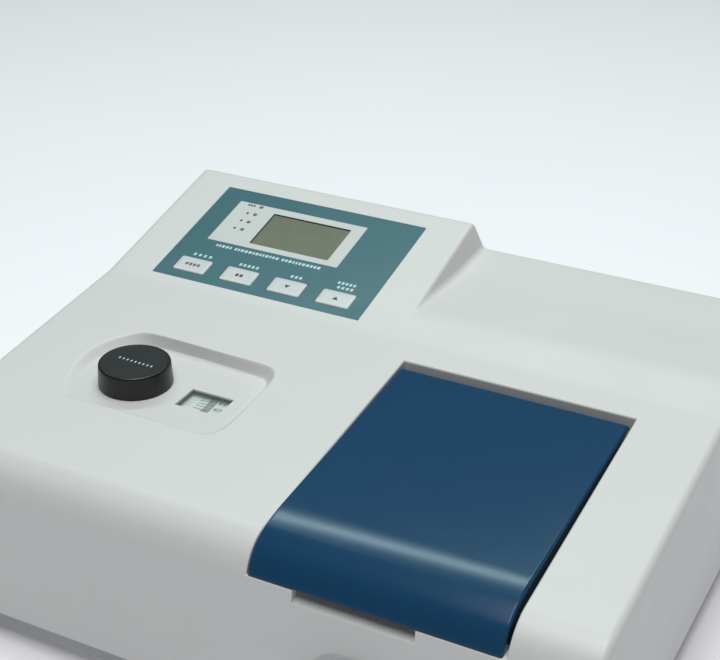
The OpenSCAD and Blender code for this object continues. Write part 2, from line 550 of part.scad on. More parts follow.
// ---------- electronics ----------
module main_pcb() sh() color([0.1, 0.35, 0.18]) {
  difference() {
    translate([0, 0, 26]) linear_extrude(1.6) rrect(-112, 44, 86, 168, 2);
    for (x = [-107, 39], y = [91, 163]) zcyl(x, y, 20, 30, 1.7);
  }
  for (x = [-107, 39], y = [91, 163]) ztube(x, y, 13.6, 26, 3, 1.4);
  for (i = [0:3]) zcyl(-95 + i * 20, 104, 27.6, 52, 8);
  box(-60, -40, 130, 150, 27.6, 31);
  box(-20, 12, 126, 142, 27.6, 30.5);
  for (i = [0:6]) box(20, 40, 96 + i * 5, 98 + i * 5, 27.6, 56);
  box(20, 40, 96, 128, 27.6, 31);
  box(-100, -70, 150, 158, 27.6, 36);
}
module transformer() sh() color([0.35, 0.33, 0.3]) {
  box(-196, -136, 96, 146, 18, 70);
  box(-188, -144, 88, 154, 26, 62);
  box(-202, -130, 104, 134, 13.6, 18);
}
module fan_frame() sh() color([0.1, 0.1, 0.11]) difference() {
  xz(yR - 29.4, yR - 4.4) translate([140, 88]) rrect(-40, 40, -40, 40, 4);
  xz(yR - 40, yR) translate([140, 88]) difference() { circle(37.5); circle(14); for (a = [0:120:240]) rotate(a) translate([10, -2]) square([30, 4]); }
  xz(yR - 40, yR - 8.4) translate([140, 88]) difference() { circle(37.5); circle(2); }
  ycyl(140, yR - 30, yR - 6, 88, 2.0);
  for (dx = [-35.75, 35.75], dz = [-35.75, 35.75]) ycyl(140 + dx, yR - 40, yR, 88 + dz, 2.2);
}
module fan_rotor() sh() color([0.16, 0.16, 0.17]) {
  ycyl(140, yR - 27.4, yR - 9.4, 88, 13);
  ycyl(140, yR - 9.5, yR - 6.5, 88, 1.95);
  for (a = [0:360 / 7:350]) translate([140, yR - 18.4, 88]) rotate([0, a, 0]) translate([12, 0, 0]) rotate([35, 0, 0]) translate([0, -0.8, -9]) cube([23.5, 1.6, 18]);
}
module fan_guard() sh() color([0.75, 0.75, 0.77]) {
  for (r = [9, 17, 25, 33]) translate([140, yR - 1.4, 88]) rotate([90, 0, 0]) rotate_extrude() translate([r, 0]) circle(0.9, $fn = 24);
  for (a = [45, 135]) translate([140, yR - 1.4, 88]) rotate([0, a, 0]) translate([-50.5, 0, 0]) xcyl(0, 101, 0, 0, 0.9);
  for (dx = [-35.75, 35.75], dz = [-35.75, 35.75]) { ycyl(140 + dx, yR - 28, yR - 1.0, 88 + dz, 2); ycyl(140 + dx, yR - 1.0, yR + 1, 88 + dz, 3.6); }
}
module mains_inlet() sh() color([0.07, 0.07, 0.08]) {
  difference() {
    union() { xz(yR - 2.9, yR - 0.6) translate([-150, 75]) rrect(-25, 25, -11.2, 11.2, 3); xz(yR - 24, yR - 2.8) translate([-150, 75]) rrect(-13.5, 13.5, -9.5, 9.5, 2); }
    xz(yR - 18, yR + 2) translate([-150, 75]) polygon([[-12, -8], [12, -8], [12, 4.5], [8.5, 8], [-8.5, 8], [-12, 4.5]]);
  }
  for (p = [[-7, -1.5], [0, 2.5], [7, -1.5]]) box(-151 + p[0], -149 + p[0], yR - 19, yR - 5, 75 + p[1] - 2, 75 + p[1] + 2);
  for (dx = [-20, 20]) ycyl(-150 + dx, yR - 0.7, yR + 0.4, 75, 2.8);
}
module power_switch() sh() color([0.07, 0.07, 0.08]) difference() {
  union() { xz(yR - 2.9, yR - 1) translate([-104, 75]) rrect(-7.5, 7.5, -10.5, 10.5, 1); box(-110.5, -97.5, yR - 22, yR - 2.8, 65.3, 84.7); }
  box(-109.2, -98.8, yR - 11, yR + 1, 66.6, 83.4);
  xcyl(-109.9, -98.1, yR - 4.5, 75, 1.55);
}
module switch_rocker() sh() color([0.2, 0.2, 0.21]) {
  intersection() {
    yz(-109, -99) polygon([[yR - 8, 68.4], [yR - 3.0, 67.2], [yR - 0.2, 67.4], [yR - 1.6, 75], [yR + 1.0, 81.8], [yR - 1.6, 82.8], [yR - 8, 81.2]]);
    box(-109, -99, yR - 9, yR + 3, 60, 90);
  }
  xcyl(-109.8, -98.2, yR - 4.5, 75, 1.5);
}
module fuse_serial() sh() color([0.12, 0.12, 0.13]) {
  ycyl(-66, yR - 36, yR - 2.9, 75, 6);
  ycyl(-66, yR - 2.9, yR - 1.2, 75, 8);
  difference() { ycyl(-66, yR - 1.2, yR + 1, 75, 5.6); box(-70, -62, yR, yR + 2, 74.4, 75.6); }
  difference() {
    union() { xz(yR - 2.9, yR - 2) translate([-16, 75]) rrect(-15.4, 15.4, -6.2, 6.2, 2); xz(yR - 12, yR + 1) translate([-16, 75]) polygon([[-9.4, 5.2], [9.4, 5.2], [8.2, -5.2], [-8.2, -5.2]]); }
    for (i = [0:4]) ycyl(-16 + (i - 2) * 2.77, yR - 4, yR + 3, 76.4, 0.6);
    for (i = [0:3]) ycyl(-16 + (i - 1.5) * 2.77, yR - 4, yR + 3, 73.6, 0.6);
  }
  for (dx = [-12.5, 12.5]) translate([-16 + dx, yR - 2, 75]) rotate([-90, 0, 0]) cylinder(r = 2.6, h = 3.6, $fn = 6);
}

base_tray();
feet();
foot_screws();
cover_screws();
top_cover();
rear_panel();
control_overlay();
lcd_glass();
lcd_module();
mode_leds();
mode_key();
print_key();
down_key();
up_key();
key_switches();
display_pcb();
wavelength_knob();
knob_grub_screw();
knob_shaft();
shaft_bushes();
layshaft();
dial_disc();
dial_window();
drive_plate();
drive_pillars();
sector_arm();
grating_table();
grating();
mono_box();
mono_cover();
mono_mirrors();
entrance_slit();
exit_slit();
condenser_tube();
sample_tray();
tray_windows();
guide_rods();
cuvette_carriage();
pull_rod();
pull_rod_knob();
rod_bush();
carriage_detent();
sample_lid();
lid_baffle();
hinge_brackets();
hinge_pins();
lamp_house();
halogen_lamp();
deuterium_lamp();
lamp_mirror();
detector_housing();
main_pcb();
transformer();
fan_frame();
fan_rotor();
fan_guard();
mains_inlet();
power_switch();
switch_rocker();
fuse_serial();
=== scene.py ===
import bpy
import bmesh
import math
import random
import numpy as np
from mathutils import Vector, Matrix
from mathutils.geometry import tessellate_polygon

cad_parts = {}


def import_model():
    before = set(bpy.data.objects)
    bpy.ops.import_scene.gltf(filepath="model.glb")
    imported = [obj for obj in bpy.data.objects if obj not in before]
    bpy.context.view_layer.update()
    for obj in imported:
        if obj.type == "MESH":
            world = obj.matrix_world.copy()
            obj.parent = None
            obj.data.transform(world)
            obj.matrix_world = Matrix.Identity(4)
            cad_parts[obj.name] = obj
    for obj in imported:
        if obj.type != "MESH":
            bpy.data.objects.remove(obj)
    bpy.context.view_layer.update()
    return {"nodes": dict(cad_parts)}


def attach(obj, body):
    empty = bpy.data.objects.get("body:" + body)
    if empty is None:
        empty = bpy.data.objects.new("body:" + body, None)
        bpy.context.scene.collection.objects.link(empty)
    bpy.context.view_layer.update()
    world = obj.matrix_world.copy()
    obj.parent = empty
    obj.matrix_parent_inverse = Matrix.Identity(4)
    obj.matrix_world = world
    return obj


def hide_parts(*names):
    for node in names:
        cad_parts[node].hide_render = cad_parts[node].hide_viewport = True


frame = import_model()
random.seed(7)

# ------------------------------------------------------------------ measures (mm)
YO = 9.2
W2, YF, YR, RF, ZD = 227.5, -177.0, 179.0, 26.0, 152.0
SF, SR, OY = 0.095, 0.0305, 24.0
ZBK = 163.9
ZH, SP = 184.85, 0.2305
XH, DH, AH = 3.5, 0.487, 0.0245
ZBOT = 22.0
OX0, OX1 = 20.5, 176.2
KX, KY, KH, ZR = -129.7, -62.2, 15.6, 140.0
RX, RZ = 83.0, 59.0
PA = math.atan(SP)
PY0 = 43.0
PZ0 = ZH - SP * (YR - PY0)
HY, HZ = 12.7, 140.0
LX, LY, LP = -157.0, 104.4, 9.7
KEYS = [(-169.2, "mode_key", "key_mode"), (-130.5, "print_key", "key_print"), (-91.9, "down_key", "key_down"), (-53.3, "up_key", "key_up")]
KY0, KY1 = 17.9, 33.4


# ------------------------------------------------------------------ materials
def new_mat(name):
    m = bpy.data.materials.new(name)
    m.use_nodes = True
    nt = m.node_tree
    for n in list(nt.nodes):
        nt.nodes.remove(n)
    out = nt.nodes.new("ShaderNodeOutputMaterial")
    b = nt.nodes.new("ShaderNodeBsdfPrincipled")
    nt.links.new(b.outputs[0], out.inputs[0])
    return m, nt, b


def lin(c):
    return tuple((v / 12.92 if v <= 0.04045 else ((v + 0.055) / 1.055) ** 2.4) for v in c)


def make(name, srgb, rough=0.5, alpha=1.0, metal=0.0, var=0.03, vscale=25.0, rvar=0.05, rscale=60.0,
         bump=0.0, bscale=1500.0, bdist=0.0002, spec=0.5, coat=0.0, coat_r=0.1, ior=1.5,
         trans=0.0, stretch=None, dust=0.0):
    m, nt, b = new_mat(name)
    L = nt.links
    tc = nt.nodes.new("ShaderNodeTexCoord")
    mp = nt.nodes.new("ShaderNodeMapping")
    L.new(tc.outputs["Object"], mp.inputs[0])
    if stretch:
        mp.inputs["Scale"].default_value = stretch
    n1 = nt.nodes.new("ShaderNodeTexNoise")
    n1.inputs["Scale"].default_value = vscale
    n1.inputs["Detail"].default_value = 4
    L.new(mp.outputs[0], n1.inputs["Vector"])
    cr = nt.nodes.new("ShaderNodeValToRGB")
    base = lin(srgb)
    lo = [max(0, v * (1 - var)) for v in base]
    hi = [min(1, v * (1 + var)) for v in base]
    cr.color_ramp.elements[0].position = 0.3
    cr.color_ramp.elements[1].position = 0.7
    cr.color_ramp.elements[0].color = (*lo, 1)
    cr.color_ramp.elements[1].color = (*hi, 1)
    L.new(n1.outputs[0], cr.inputs[0])
    L.new(cr.outputs[0], b.inputs["Base Color"])
    n2 = nt.nodes.new("ShaderNodeTexNoise")
    n2.inputs["Scale"].default_value = rscale
    n2.inputs["Detail"].default_value = 3
    L.new(mp.outputs[0], n2.inputs["Vector"])
    mr = nt.nodes.new("ShaderNodeMapRange")
    mr.inputs["From Min"].default_value = 0.3
    mr.inputs["From Max"].default_value = 0.7
    mr.inputs["To Min"].default_value = max(0.02, rough - rvar)
    mr.inputs["To Max"].default_value = min(1, rough + rvar)
    L.new(n2.outputs[0], mr.inputs[0])
    L.new(mr.outputs[0], b.inputs["Roughness"])
    if bump > 0:
        n3 = nt.nodes.new("ShaderNodeTexNoise")
        n3.inputs["Scale"].default_value = bscale
        n3.inputs["Detail"].default_value = 2
        L.new(mp.outputs[0], n3.inputs["Vector"])
        bp = nt.nodes.new("ShaderNodeBump")
        bp.inputs["Strength"].default_value = bump
        bp.inputs["Distance"].default_value = bdist
        L.new(n3.outputs[0], bp.inputs["Height"])
        L.new(bp.outputs[0], b.inputs["Normal"])
    b.inputs["Metallic"].default_value = metal
    b.inputs["Alpha"].default_value = alpha
    b.inputs["Specular IOR Level"].default_value = spec
    b.inputs["IOR"].default_value = ior
    b.inputs["Coat Weight"].default_value = coat
    b.inputs["Coat Roughness"].default_value = coat_r
    b.inputs["Transmission Weight"].default_value = trans
    return m


M = {}
M["case"] = make("case_abs", (0.822, 0.826, 0.820), 0.40, var=0.010, vscale=9, rvar=0.04, rscale=30, bump=0.05, bscale=1100, bdist=0.00006, spec=0.45)
M["lid"] = make("lid_abs", (0.085, 0.250, 0.375), 0.19, var=0.02, vscale=10, rvar=0.006, rscale=30, bump=0.05, bscale=1000, bdist=0.00006, spec=0.3)
M["film"] = make("overlay_film", (0.175, 0.37, 0.41), 0.34, var=0.008, vscale=18, rvar=0.05, rscale=80, bump=0.04, bscale=1300, bdist=0.00004, spec=0.45)
M["inset"] = make("overlay_inset", (0.775, 0.79, 0.775), 0.40, var=0.012, vscale=22, rvar=0.05, rscale=80, bump=0.04, bscale=1300, bdist=0.00004)
M["inkw"] = make("ink_pale", (0.72, 0.84, 0.84), 0.45, var=0.05, vscale=300, rvar=0.05)
M["inkd"] = make("ink_dark", (0.23, 0.22, 0.23), 0.45, var=0.1, vscale=300, rvar=0.05)
M["inkr"] = make("ink_plum", (0.42, 0.33, 0.35), 0.45, var=0.1, vscale=300, rvar=0.05)
M["key"] = make("key_film", (0.775, 0.795, 0.795), 0.30, var=0.015, vscale=60, rvar=0.05, rscale=120, bump=0.04, bscale=1300, bdist=0.00004)
M["lcd"] = make("lcd_face", (0.425, 0.437, 0.37), 0.22, var=0.02, vscale=12, rvar=0.03, rscale=40, spec=0.5)
M["bezel"] = make("bezel_black", (0.10, 0.10, 0.10), 0.45, var=0.1, vscale=60, rvar=0.06)
M["led"] = make("led_body", (0.42, 0.36, 0.36), 0.25, var=0.05, vscale=300, rvar=0.05)
M["knob"] = make("knob_phenolic", (0.055, 0.056, 0.058), 0.34, var=0.10, vscale=60, rvar=0.05, rscale=100, bump=0.05, bscale=1200, bdist=0.00006, spec=0.5)
M["knobtop"] = make("knob_top", (0.165, 0.172, 0.178), 0.55, var=0.05, vscale=60, rvar=0.06, rscale=150, bump=0.2, bscale=1400, bdist=0.00006, spec=0.25)
M["base"] = make("base_paint", (0.66, 0.68, 0.69), 0.5, var=0.02, vscale=20, rvar=0.06, bump=0.25, bscale=1400, bdist=0.0001)
M["panel"] = make("panel_paint", (0.60, 0.62, 0.63), 0.5, var=0.02, vscale=20, rvar=0.06, bump=0.25, bscale=1400, bdist=0.0001)
M["rubber"] = make("rubber", (0.09, 0.09, 0.095), 0.8, var=0.12, vscale=60, rvar=0.08, bump=0.3, bscale=900, bdist=0.0001, spec=0.3)
M["steel"] = make("steel", (0.70, 0.70, 0.72), 0.28, metal=1.0, var=0.05, vscale=40, rvar=0.08, rscale=200, stretch=(1, 1, 8))
M["dsteel"] = make("steel_dark", (0.34, 0.34, 0.36), 0.4, metal=1.0, var=0.08, vscale=60, rvar=0.08, rscale=200)
M["brass"] = make("brass", (0.78, 0.63, 0.34), 0.3, metal=1.0, var=0.06, vscale=60, rvar=0.08, rscale=200)
M["alu"] = make("aluminium", (0.74, 0.75, 0.77), 0.38, metal=1.0, var=0.05, vscale=30, rvar=0.08, rscale=180)
M["cast"] = make("cast_dark", (0.30, 0.31, 0.33), 0.55, metal=0.3, var=0.1, vscale=40, rvar=0.08, bump=0.5, bscale=700, bdist=0.00015)
M["black"] = make("matt_black", (0.075, 0.075, 0.08), 0.6, var=0.15, vscale=50, rvar=0.1, bump=0.2, bscale=1200, bdist=0.0001, spec=0.35)
M["dplast"] = make("dark_plastic", (0.095, 0.095, 0.10), 0.45, var=0.1, vscale=70, rvar=0.08, bump=0.15, bscale=2000, bdist=0.00006)
M["pcb"] = make("pcb_green", (0.10, 0.36, 0.20), 0.4, var=0.15, vscale=150, rvar=0.1)
M["mirror"] = make("mirror_face", (0.90, 0.91, 0.93), 0.08, metal=1.0, var=0.02, vscale=60, rvar=0.03)
M["grating"] = make("grating_face", (0.80, 0.77, 0.88), 0.14, metal=1.0, var=0.08, vscale=30, rvar=0.05, stretch=(1, 1, 0.02))
M["dial"] = make("dial_plate", (0.84, 0.885, 0.87), 0.5, var=0.02, vscale=60, rvar=0.06)
M["quartz"] = make("quartz", (0.93, 0.95, 0.97), 0.05, var=0.01, vscale=30, rvar=0.02, trans=0.85, ior=1.46)
M["window"] = make("clear_window", (0.80, 0.86, 0.84), 0.06, alpha=0.07, var=0.01, vscale=30, rvar=0.03)
M["trafo"] = make("transformer", (0.42, 0.40, 0.37), 0.55, metal=0.4, var=0.15, vscale=30, rvar=0.1, stretch=(60, 1, 1))
M["chrome"] = make("chrome_wire", (0.80, 0.80, 0.82), 0.18, metal=1.0, var=0.03, vscale=60, rvar=0.05)
M["white"] = make("white_mark", (0.85, 0.85, 0.85), 0.5, var=0.03, vscale=200, rvar=0.05)
M["foam"] = make("foam", (0.16, 0.16, 0.17), 0.85, var=0.15, vscale=400, rvar=0.05, bump=0.5, bscale=900, bdist=0.0002, spec=0.2)


# ------------------------------------------------------------------ mesh helpers
def V(p):
    return (p[0] * 0.001, (p[1] + YO) * 0.001, p[2] * 0.001)


def obj(name, verts, faces, mat, smooth=True, raw=False, merge=1e-6, mats=None, fmat=None):
    me = bpy.data.meshes.new(name)
    me.from_pydata([tuple(v) if raw else V(v) for v in verts], [], [tuple(f) for f in faces])
    for mm in (mats or [mat]):
        me.materials.append(mm)
    if fmat is not None:
        me.polygons.foreach_set("material_index", fmat)
    bm = bmesh.new()
    bm.from_mesh(me)
    if merge:
        bmesh.ops.remove_doubles(bm, verts=bm.verts, dist=merge)
    bmesh.ops.dissolve_degenerate(bm, edges=bm.edges, dist=1e-7)
    bm.to_mesh(me)
    bm.free()
    me.polygons.foreach_set("use_smooth", [smooth] * len(me.polygons))
    o = bpy.data.objects.new(name, me)
    bpy.context.scene.collection.objects.link(o)
    return o


def wn(o, angle=35.0, keep=True):
    """Sharp edges above the angle, then area-weighted normals."""
    bm = bmesh.new()
    bm.from_mesh(o.data)
    for e in bm.edges:
        if len(e.link_faces) == 2:
            e.smooth = e.calc_face_angle(0) < math.radians(angle)
        else:
            e.smooth = False
    bm.to_mesh(o.data)
    bm.free()
    m = o.modifiers.new("wn", "WEIGHTED_NORMAL")
    m.mode = "FACE_AREA"
    m.weight = 100
    m.keep_sharp = True
    return o


def recalc(o):
    bm = bmesh.new()
    bm.from_mesh(o.data)
    bmesh.ops.recalc_face_normals(bm, faces=bm.faces)
    bm.to_mesh(o.data)
    bm.free()


class Acc:
    """Collects vertices and faces of one mesh."""
    def __init__(self):
        self.v, self.f = [], []

    def add(self, verts, faces):
        n = len(self.v)
        self.v += [tuple(p) for p in verts]
        self.f += [tuple(i + n for i in f) for f in faces]

    def grid(self, rows, keep=None):
        """rows: list of equal-length point lists."""
        n = len(self.v)
        R, C = len(rows), len(rows[0])
        for r in rows:
            self.v += [tuple(p) for p in r]
        for i in range(R - 1):
            for j in range(C - 1):
                if keep is None or keep(i, j):
                    self.f.append((n + i * C + j, n + i * C + j + 1, n + (i + 1) * C + j + 1, n + (i + 1) * C + j))

    def poly(self, loops):
        """planar polygon with holes; loops of 3-D points."""
        tris = tessellate_polygon([[Vector(p) for p in l] for l in loops])
        flat = [p for l in loops for p in l]
        self.add(flat, tris)

    def wall(self, loop, vec, closed=True):
        a = [tuple(p) for p in loop]
        b = [(p[0] + vec[0], p[1] + vec[1], p[2] + vec[2]) for p in loop]
        if closed:
            a.append(a[0]); b.append(b[0])
        self.grid([a, b])


def rrect2(x0, x1, y0, y1, r, n=6):
    pts = []
    for cx, cy, a0 in ((x1 - r, y1 - r, 0), (x0 + r, y1 - r, 90), (x0 + r, y0 + r, 180), (x1 - r, y0 + r, 270)):
        for k in range(n + 1):
            a = math.radians(a0 + 90 * k / n)
            pts.append((cx + r * math.cos(a), cy + r * math.sin(a)))
    return pts


def pnl(x, y, z):
    """panel frame -> part frame"""
    return (x, PY0 + y * math.cos(PA) - z * math.sin(PA), PZ0 + y * math.sin(PA) + z * math.cos(PA))


# ------------------------------------------------------------------ case surfaces
def smax(a, b, k):
    h = np.clip(k - np.abs(a - b), 0, None) / k
    return np.maximum(a, b) + h * h * k / 4


def fplane(y):
    return ZD - SF * (OY - np.asarray(y, float))


def rplane(y):
    return ZBK - SR * (YR - np.asarray(y, float))


def panelz(y):
    return ZH - SP * (YR - np.asarray(y, float))


def hoodz(y):
    return smax(fplane(y), panelz(y), 0.6)


def deck(y):
    return smax(fplane(y), -smax(-panelz(y), -rplane(y), 1.75), 0.6)


def scurve(h, r1, r2, th, n=200):
    """Section of a wall h high: convex radius r1 at the top, concave r2 at the foot, wall at th from
    horizontal. Returns outward distance and drop, with distance 0 where the wall line meets the top."""
    hm = (r1 + r2) * (1 - math.cos(th))
    if h < 1e-6:
        return np.linspace(0, 0.01, n), np.zeros(n)
    if h <= hm:
        t = math.acos(1 - h / (r1 + r2))
        s = 0.0
    else:
        t = th
        s = (h - hm) / math.sin(th)
    a1 = np.linspace(0, t, n)
    x1 = r1 * np.sin(a1); z1 = r1 * (1 - np.cos(a1))
    x2 = x1[-1] + s * math.cos(t); z2 = z1[-1] + s * math.sin(t)
    a2 = np.linspace(t, 0, n)
    x3 = x2 + r2 * (math.sin(t) - np.sin(a2)); z3 = z2 + r2 * (np.cos(a2) - math.cos(t))
    x = np.concatenate([x1, x3]); z = np.concatenate([z1, z3])
    # inflection point lies on the wall line through the origin
    xi, zi = x1[-1], z1[-1]
    return x - xi + zi / math.tan(th), z


def resample(x, z, m, k=2.2):
    """m points, denser where the section curves."""
    ds = np.hypot(np.diff(x), np.diff(z))
    ang = np.unwrap(np.arctan2(np.diff(z), np.diff(x) + 1e-12))
    da = np.abs(np.diff(ang, prepend=ang[0]))
    w = np.concatenate([[0], np.cumsum(ds + k * da)])
    u = np.linspace(0, w[-1], m)
    return np.interp(u, w, x), np.interp(u, w, z)


NW = 44
XA, XB = -13.0, 17.8
RE, RB = 5.0, 4.0

ycR = YF + RF
zcR = ZD - SF * (OY - ycR) - RF * math.sqrt(1 + SF * SF)
roll_end = 90 + math.degrees(math.atan(SF))
sill_a = 180 - math.degrees(math.asin((115 - zcR) / RF))

rows = []  # (kind, value)
for z in (22, 24.5, 32, 86, 98, 101, 106.7):
    rows.append(("f", z))
rows.append(("f", zcR))
rows_roll = sorted(set([round(a, 4) for a in np.linspace(180, roll_end, 19)[1:-1]] + [round(sill_a, 4), round(sill_a - 2.2, 4)]), reverse=True)
for a in rows_roll:
    rows.append(("r", a))
yt = ycR - RF * SF / math.sqrt(1 + SF * SF)
ydeck = [yt, -140, -126, -112, -8, 8, OY, OY + 1.3, 30, 36]
ydeck += list(np.arange(40, 51.5, 1.0)) + [52.745, 56, 60] + list(np.arange(63, 96, 1.5)) + [98, 101, 105, 109, 113, 118, 124, 130, 136, 142, 148, 154, 160.52, 168]
ydeck = sorted(set(round(v, 4) for v in ydeck))
for y in ydeck:
    rows.append(("d", y))
for k in range(0, 7):
    rows.append(("b", k / 6))
for z in (134.0, 22.0):
    rows.append(("k", z))

cols = [-222.5, -213, -204, -194.3, -182, -160, -38, -28.3, -20]
wall_at = len(cols)
colsR = [19.2, 30, 49.9, 56, 110, 124.7, 150, 177.5, 190, 204, 214, 222.5]


def ztop(y, side):
    return hoodz(y) if side == "h" else deck(y)


def wall_section(y):
    zt, zd = float(hoodz(y)), float(deck(y))
    h = zt - zd
    th = math.atan(1 / DH)
    x, dz = scurve(h, 3.0, 5.5, th)
    x = x + XH - AH * (y - 78)
    z = zt - dz
    X = np.concatenate([[XA], x, [XB]])
    Z = np.concatenate([[zt], z, [zd]])
    if h < 1e-4:
        xs = np.linspace(XA, XB, NW)
        return xs, np.full(NW, zt)
    return resample(X, Z, NW)


def surf_rows():
    """Returns arrays X, Y, Z [row][col] of the cover's outer skin, edge roundings left out."""
    out = []
    xs_left = np.array(cols)
    xs_right = np.array(colsR)
    for kind, v in rows:
        if kind == "f":
            xw = np.linspace(XA, XB, NW)
            X = np.concatenate([xs_left, xw, xs_right])
            Y = np.full(len(X), YF); Z = np.full(len(X), v)
        elif kind == "r":
            a = math.radians(v)
            xw = np.linspace(XA, XB, NW)
            X = np.concatenate([xs_left, xw, xs_right])
            Y = np.full(len(X), ycR + RF * math.cos(a)); Z = np.full(len(X), zcR + RF * math.sin(a))
        elif kind == "d":
            xw, zw = wall_section(v)
            X = np.concatenate([xs_left, xw, xs_right])
            Z = np.concatenate([np.full(len(xs_left), float(hoodz(v))), zw, np.full(len(xs_right), float(deck(v)))])
            Y = np.full(len(X), v)
        else:
            y0 = YR - RB
            xw, zw = wall_section(YR - RB * 0.5)
            X = np.concatenate([xs_left, xw, xs_right])
            zb = np.concatenate([np.full(len(xs_left), float(hoodz(y0))), zw - 0.3, np.full(len(xs_right), float(deck(y0)))])
            sl = np.concatenate([np.full(len(xs_left), SP), np.full(NW, (SP + SR) / 2), np.full(len(xs_right), SR)])
            w = np.concatenate([np.ones(len(xs_left)), np.clip((zw - deck(y0)) / (hoodz(y0) - deck(y0)), 0, 1), np.zeros(len(xs_right))])
            sl = SR + (SP - SR) * w
            zb[len(xs_left):len(xs_left) + NW] = wall_section(y0)[1]
            n = np.sqrt(1 + sl * sl)
            zc = zb - RB * n
            a0 = np.pi / 2 + np.arctan(sl)
            if kind == "b":
                a = a0 * (1 - v)
                Y = y0 + RB * np.cos(a); Z = zc + RB * np.sin(a)
            else:
                Y = np.full(len(X), YR); Z = np.full(len(X), v)
        out.append((X, Y, Z))
    return out


S = surf_rows()
NX = len(S[0][0])
allx = S[0][0]


def col_index(x):
    for j, c in enumerate(cols):
        if abs(c - x) < 1e-6:
            return j
    for j, c in enumerate(colsR):
        if abs(c - x) < 1e-6:
            return len(cols) + NW + j
    raise ValueError(x)


def row_index(kind, v, tol=1e-3):
    for i, (k, r) in enumerate(rows):
        if k == kind and abs(r - v) < tol:
            return i
    raise ValueError((kind, v))


iF32, iF86 = row_index("f", 32), row_index("f", 86)
iF106 = row_index("f", 106.7)
iSill = row_index("r", round(sill_a, 4))
iSill2 = row_index("r", round(sill_a - 2.2, 4))
iD112, iD8 = row_index("d", -112), row_index("d", -8)
iOY, iOY1 = row_index("d", OY), row_index("d", OY + 1.3)
iSeat0, iSeat1 = row_index("d", 52.745), row_index("d", 160.52)
iB134 = row_index("k", 134.0)
jO0, jO1 = col_index(19.2), col_index(177.5)
jS0, jS1 = col_index(-194.3), col_index(-28.3)
jR0, jR1 = col_index(-182), col_index(-38)
jW0, jW1 = col_index(56), col_index(110)
jN0, jN1 = col_index(49.9), col_index(124.7)
jB0, jB1 = col_index(-204), col_index(204)

shell = Acc()
pts = [[(X[j], Y[j], Z[j]) for j in range(NX)] for X, Y, Z in S]


def keep(i, j):
    if jO0 <= j < jO1 and iSill <= i < iOY1:
        return False                       # sample opening
    if jS0 <= j < jS1 and iSeat0 <= i < iSeat1:
        return False                       # film seat
    if jR0 <= j < jR1 and iD112 <= i < iD8:
        return False                       # knob recess block
    if jW0 <= j < jW1 and iF32 <= i < iF86:
        return False                       # pull-rod well block
    if jN0 <= j < jN1 and iF106 <= i < iSill:
        return False                       # finger notch
    if jB0 <= j < jB1 and i >= iB134:
        return False                       # service panel opening
    return True


shell.grid(pts, keep)


# normals of a (y, z) profile
def prof_normals(P):
    P = np.array(P)
    d = np.gradient(P, axis=0)
    t = d / (np.linalg.norm(d, axis=1, keepdims=True) + 1e-12)
    return np.stack([-t[:, 1], t[:, 0]], axis=1)  # left of travel = outward here


def side_profile(j):
    return np.array([(pts[i][j][1], pts[i][j][2]) for i in range(len(rows))])


for sgn, j in ((-1, 0), (1, NX - 1)):
    P = side_profile(j)
    # exact tangents at the ends of straight runs
    N = prof_normals(P)
    for i, (k, v) in enumerate(rows):
        if k == "f":
            N[i] = (-1, 0)
        elif k == "r":
            a = math.radians(v); N[i] = (math.cos(a), math.sin(a))
        elif k == "k" or (k == "b" and v == 1):
            N[i] = (1, 0)
    N /= np.linalg.norm(N, axis=1, keepdims=True)
    rr = []
    for q in range(0, 7):
        ph = math.pi / 2 * q / 6
        off = RE * (1 - math.cos(ph))
        row = [(sgn * (W2 - RE + RE * math.sin(ph)), P[i, 0] - N[i, 0] * off, P[i, 1] - N[i, 1] * off) for i in range(len(rows))]
        if off > RB:
            # inside the rear corner's own radius the inset outline is a plain corner
            my = YR - off
            mz = float((hoodz if sgn < 0 else deck)(my)) - off * math.sqrt(1 + (SP if sgn < 0 else SR) ** 2)
            row = [(x, my, mz) if k == "b" or (k == "d" and y > my) or (k == "k" and z > mz) else (x, y, z) for (k, _), (x, y, z) in zip(rows, row)]
        rr.append(row)
    for i in (0, len(rows) - 1):
        for q in range(7):
            p = rr[q][i]; rr[q][i] = (p[0], p[1], ZBOT)
    shell.grid(rr)
    loop = [p for i, p in enumerate(rr[-1]) if i == 0 or p != rr[-1][i - 1]]
    louvres = []
    for k in range(9):
        y0 = 60 + 9 * k
        louvres.append([(sgn * W2, y, z) for y, z in rrect2(y0, y0 + 3.6, 60, 100, 1.75, 4)])
    shell.poly([loop] + louvres)
    for lv in louvres:
        shell.wall(lv, (-sgn * 2.8, 0, 0))


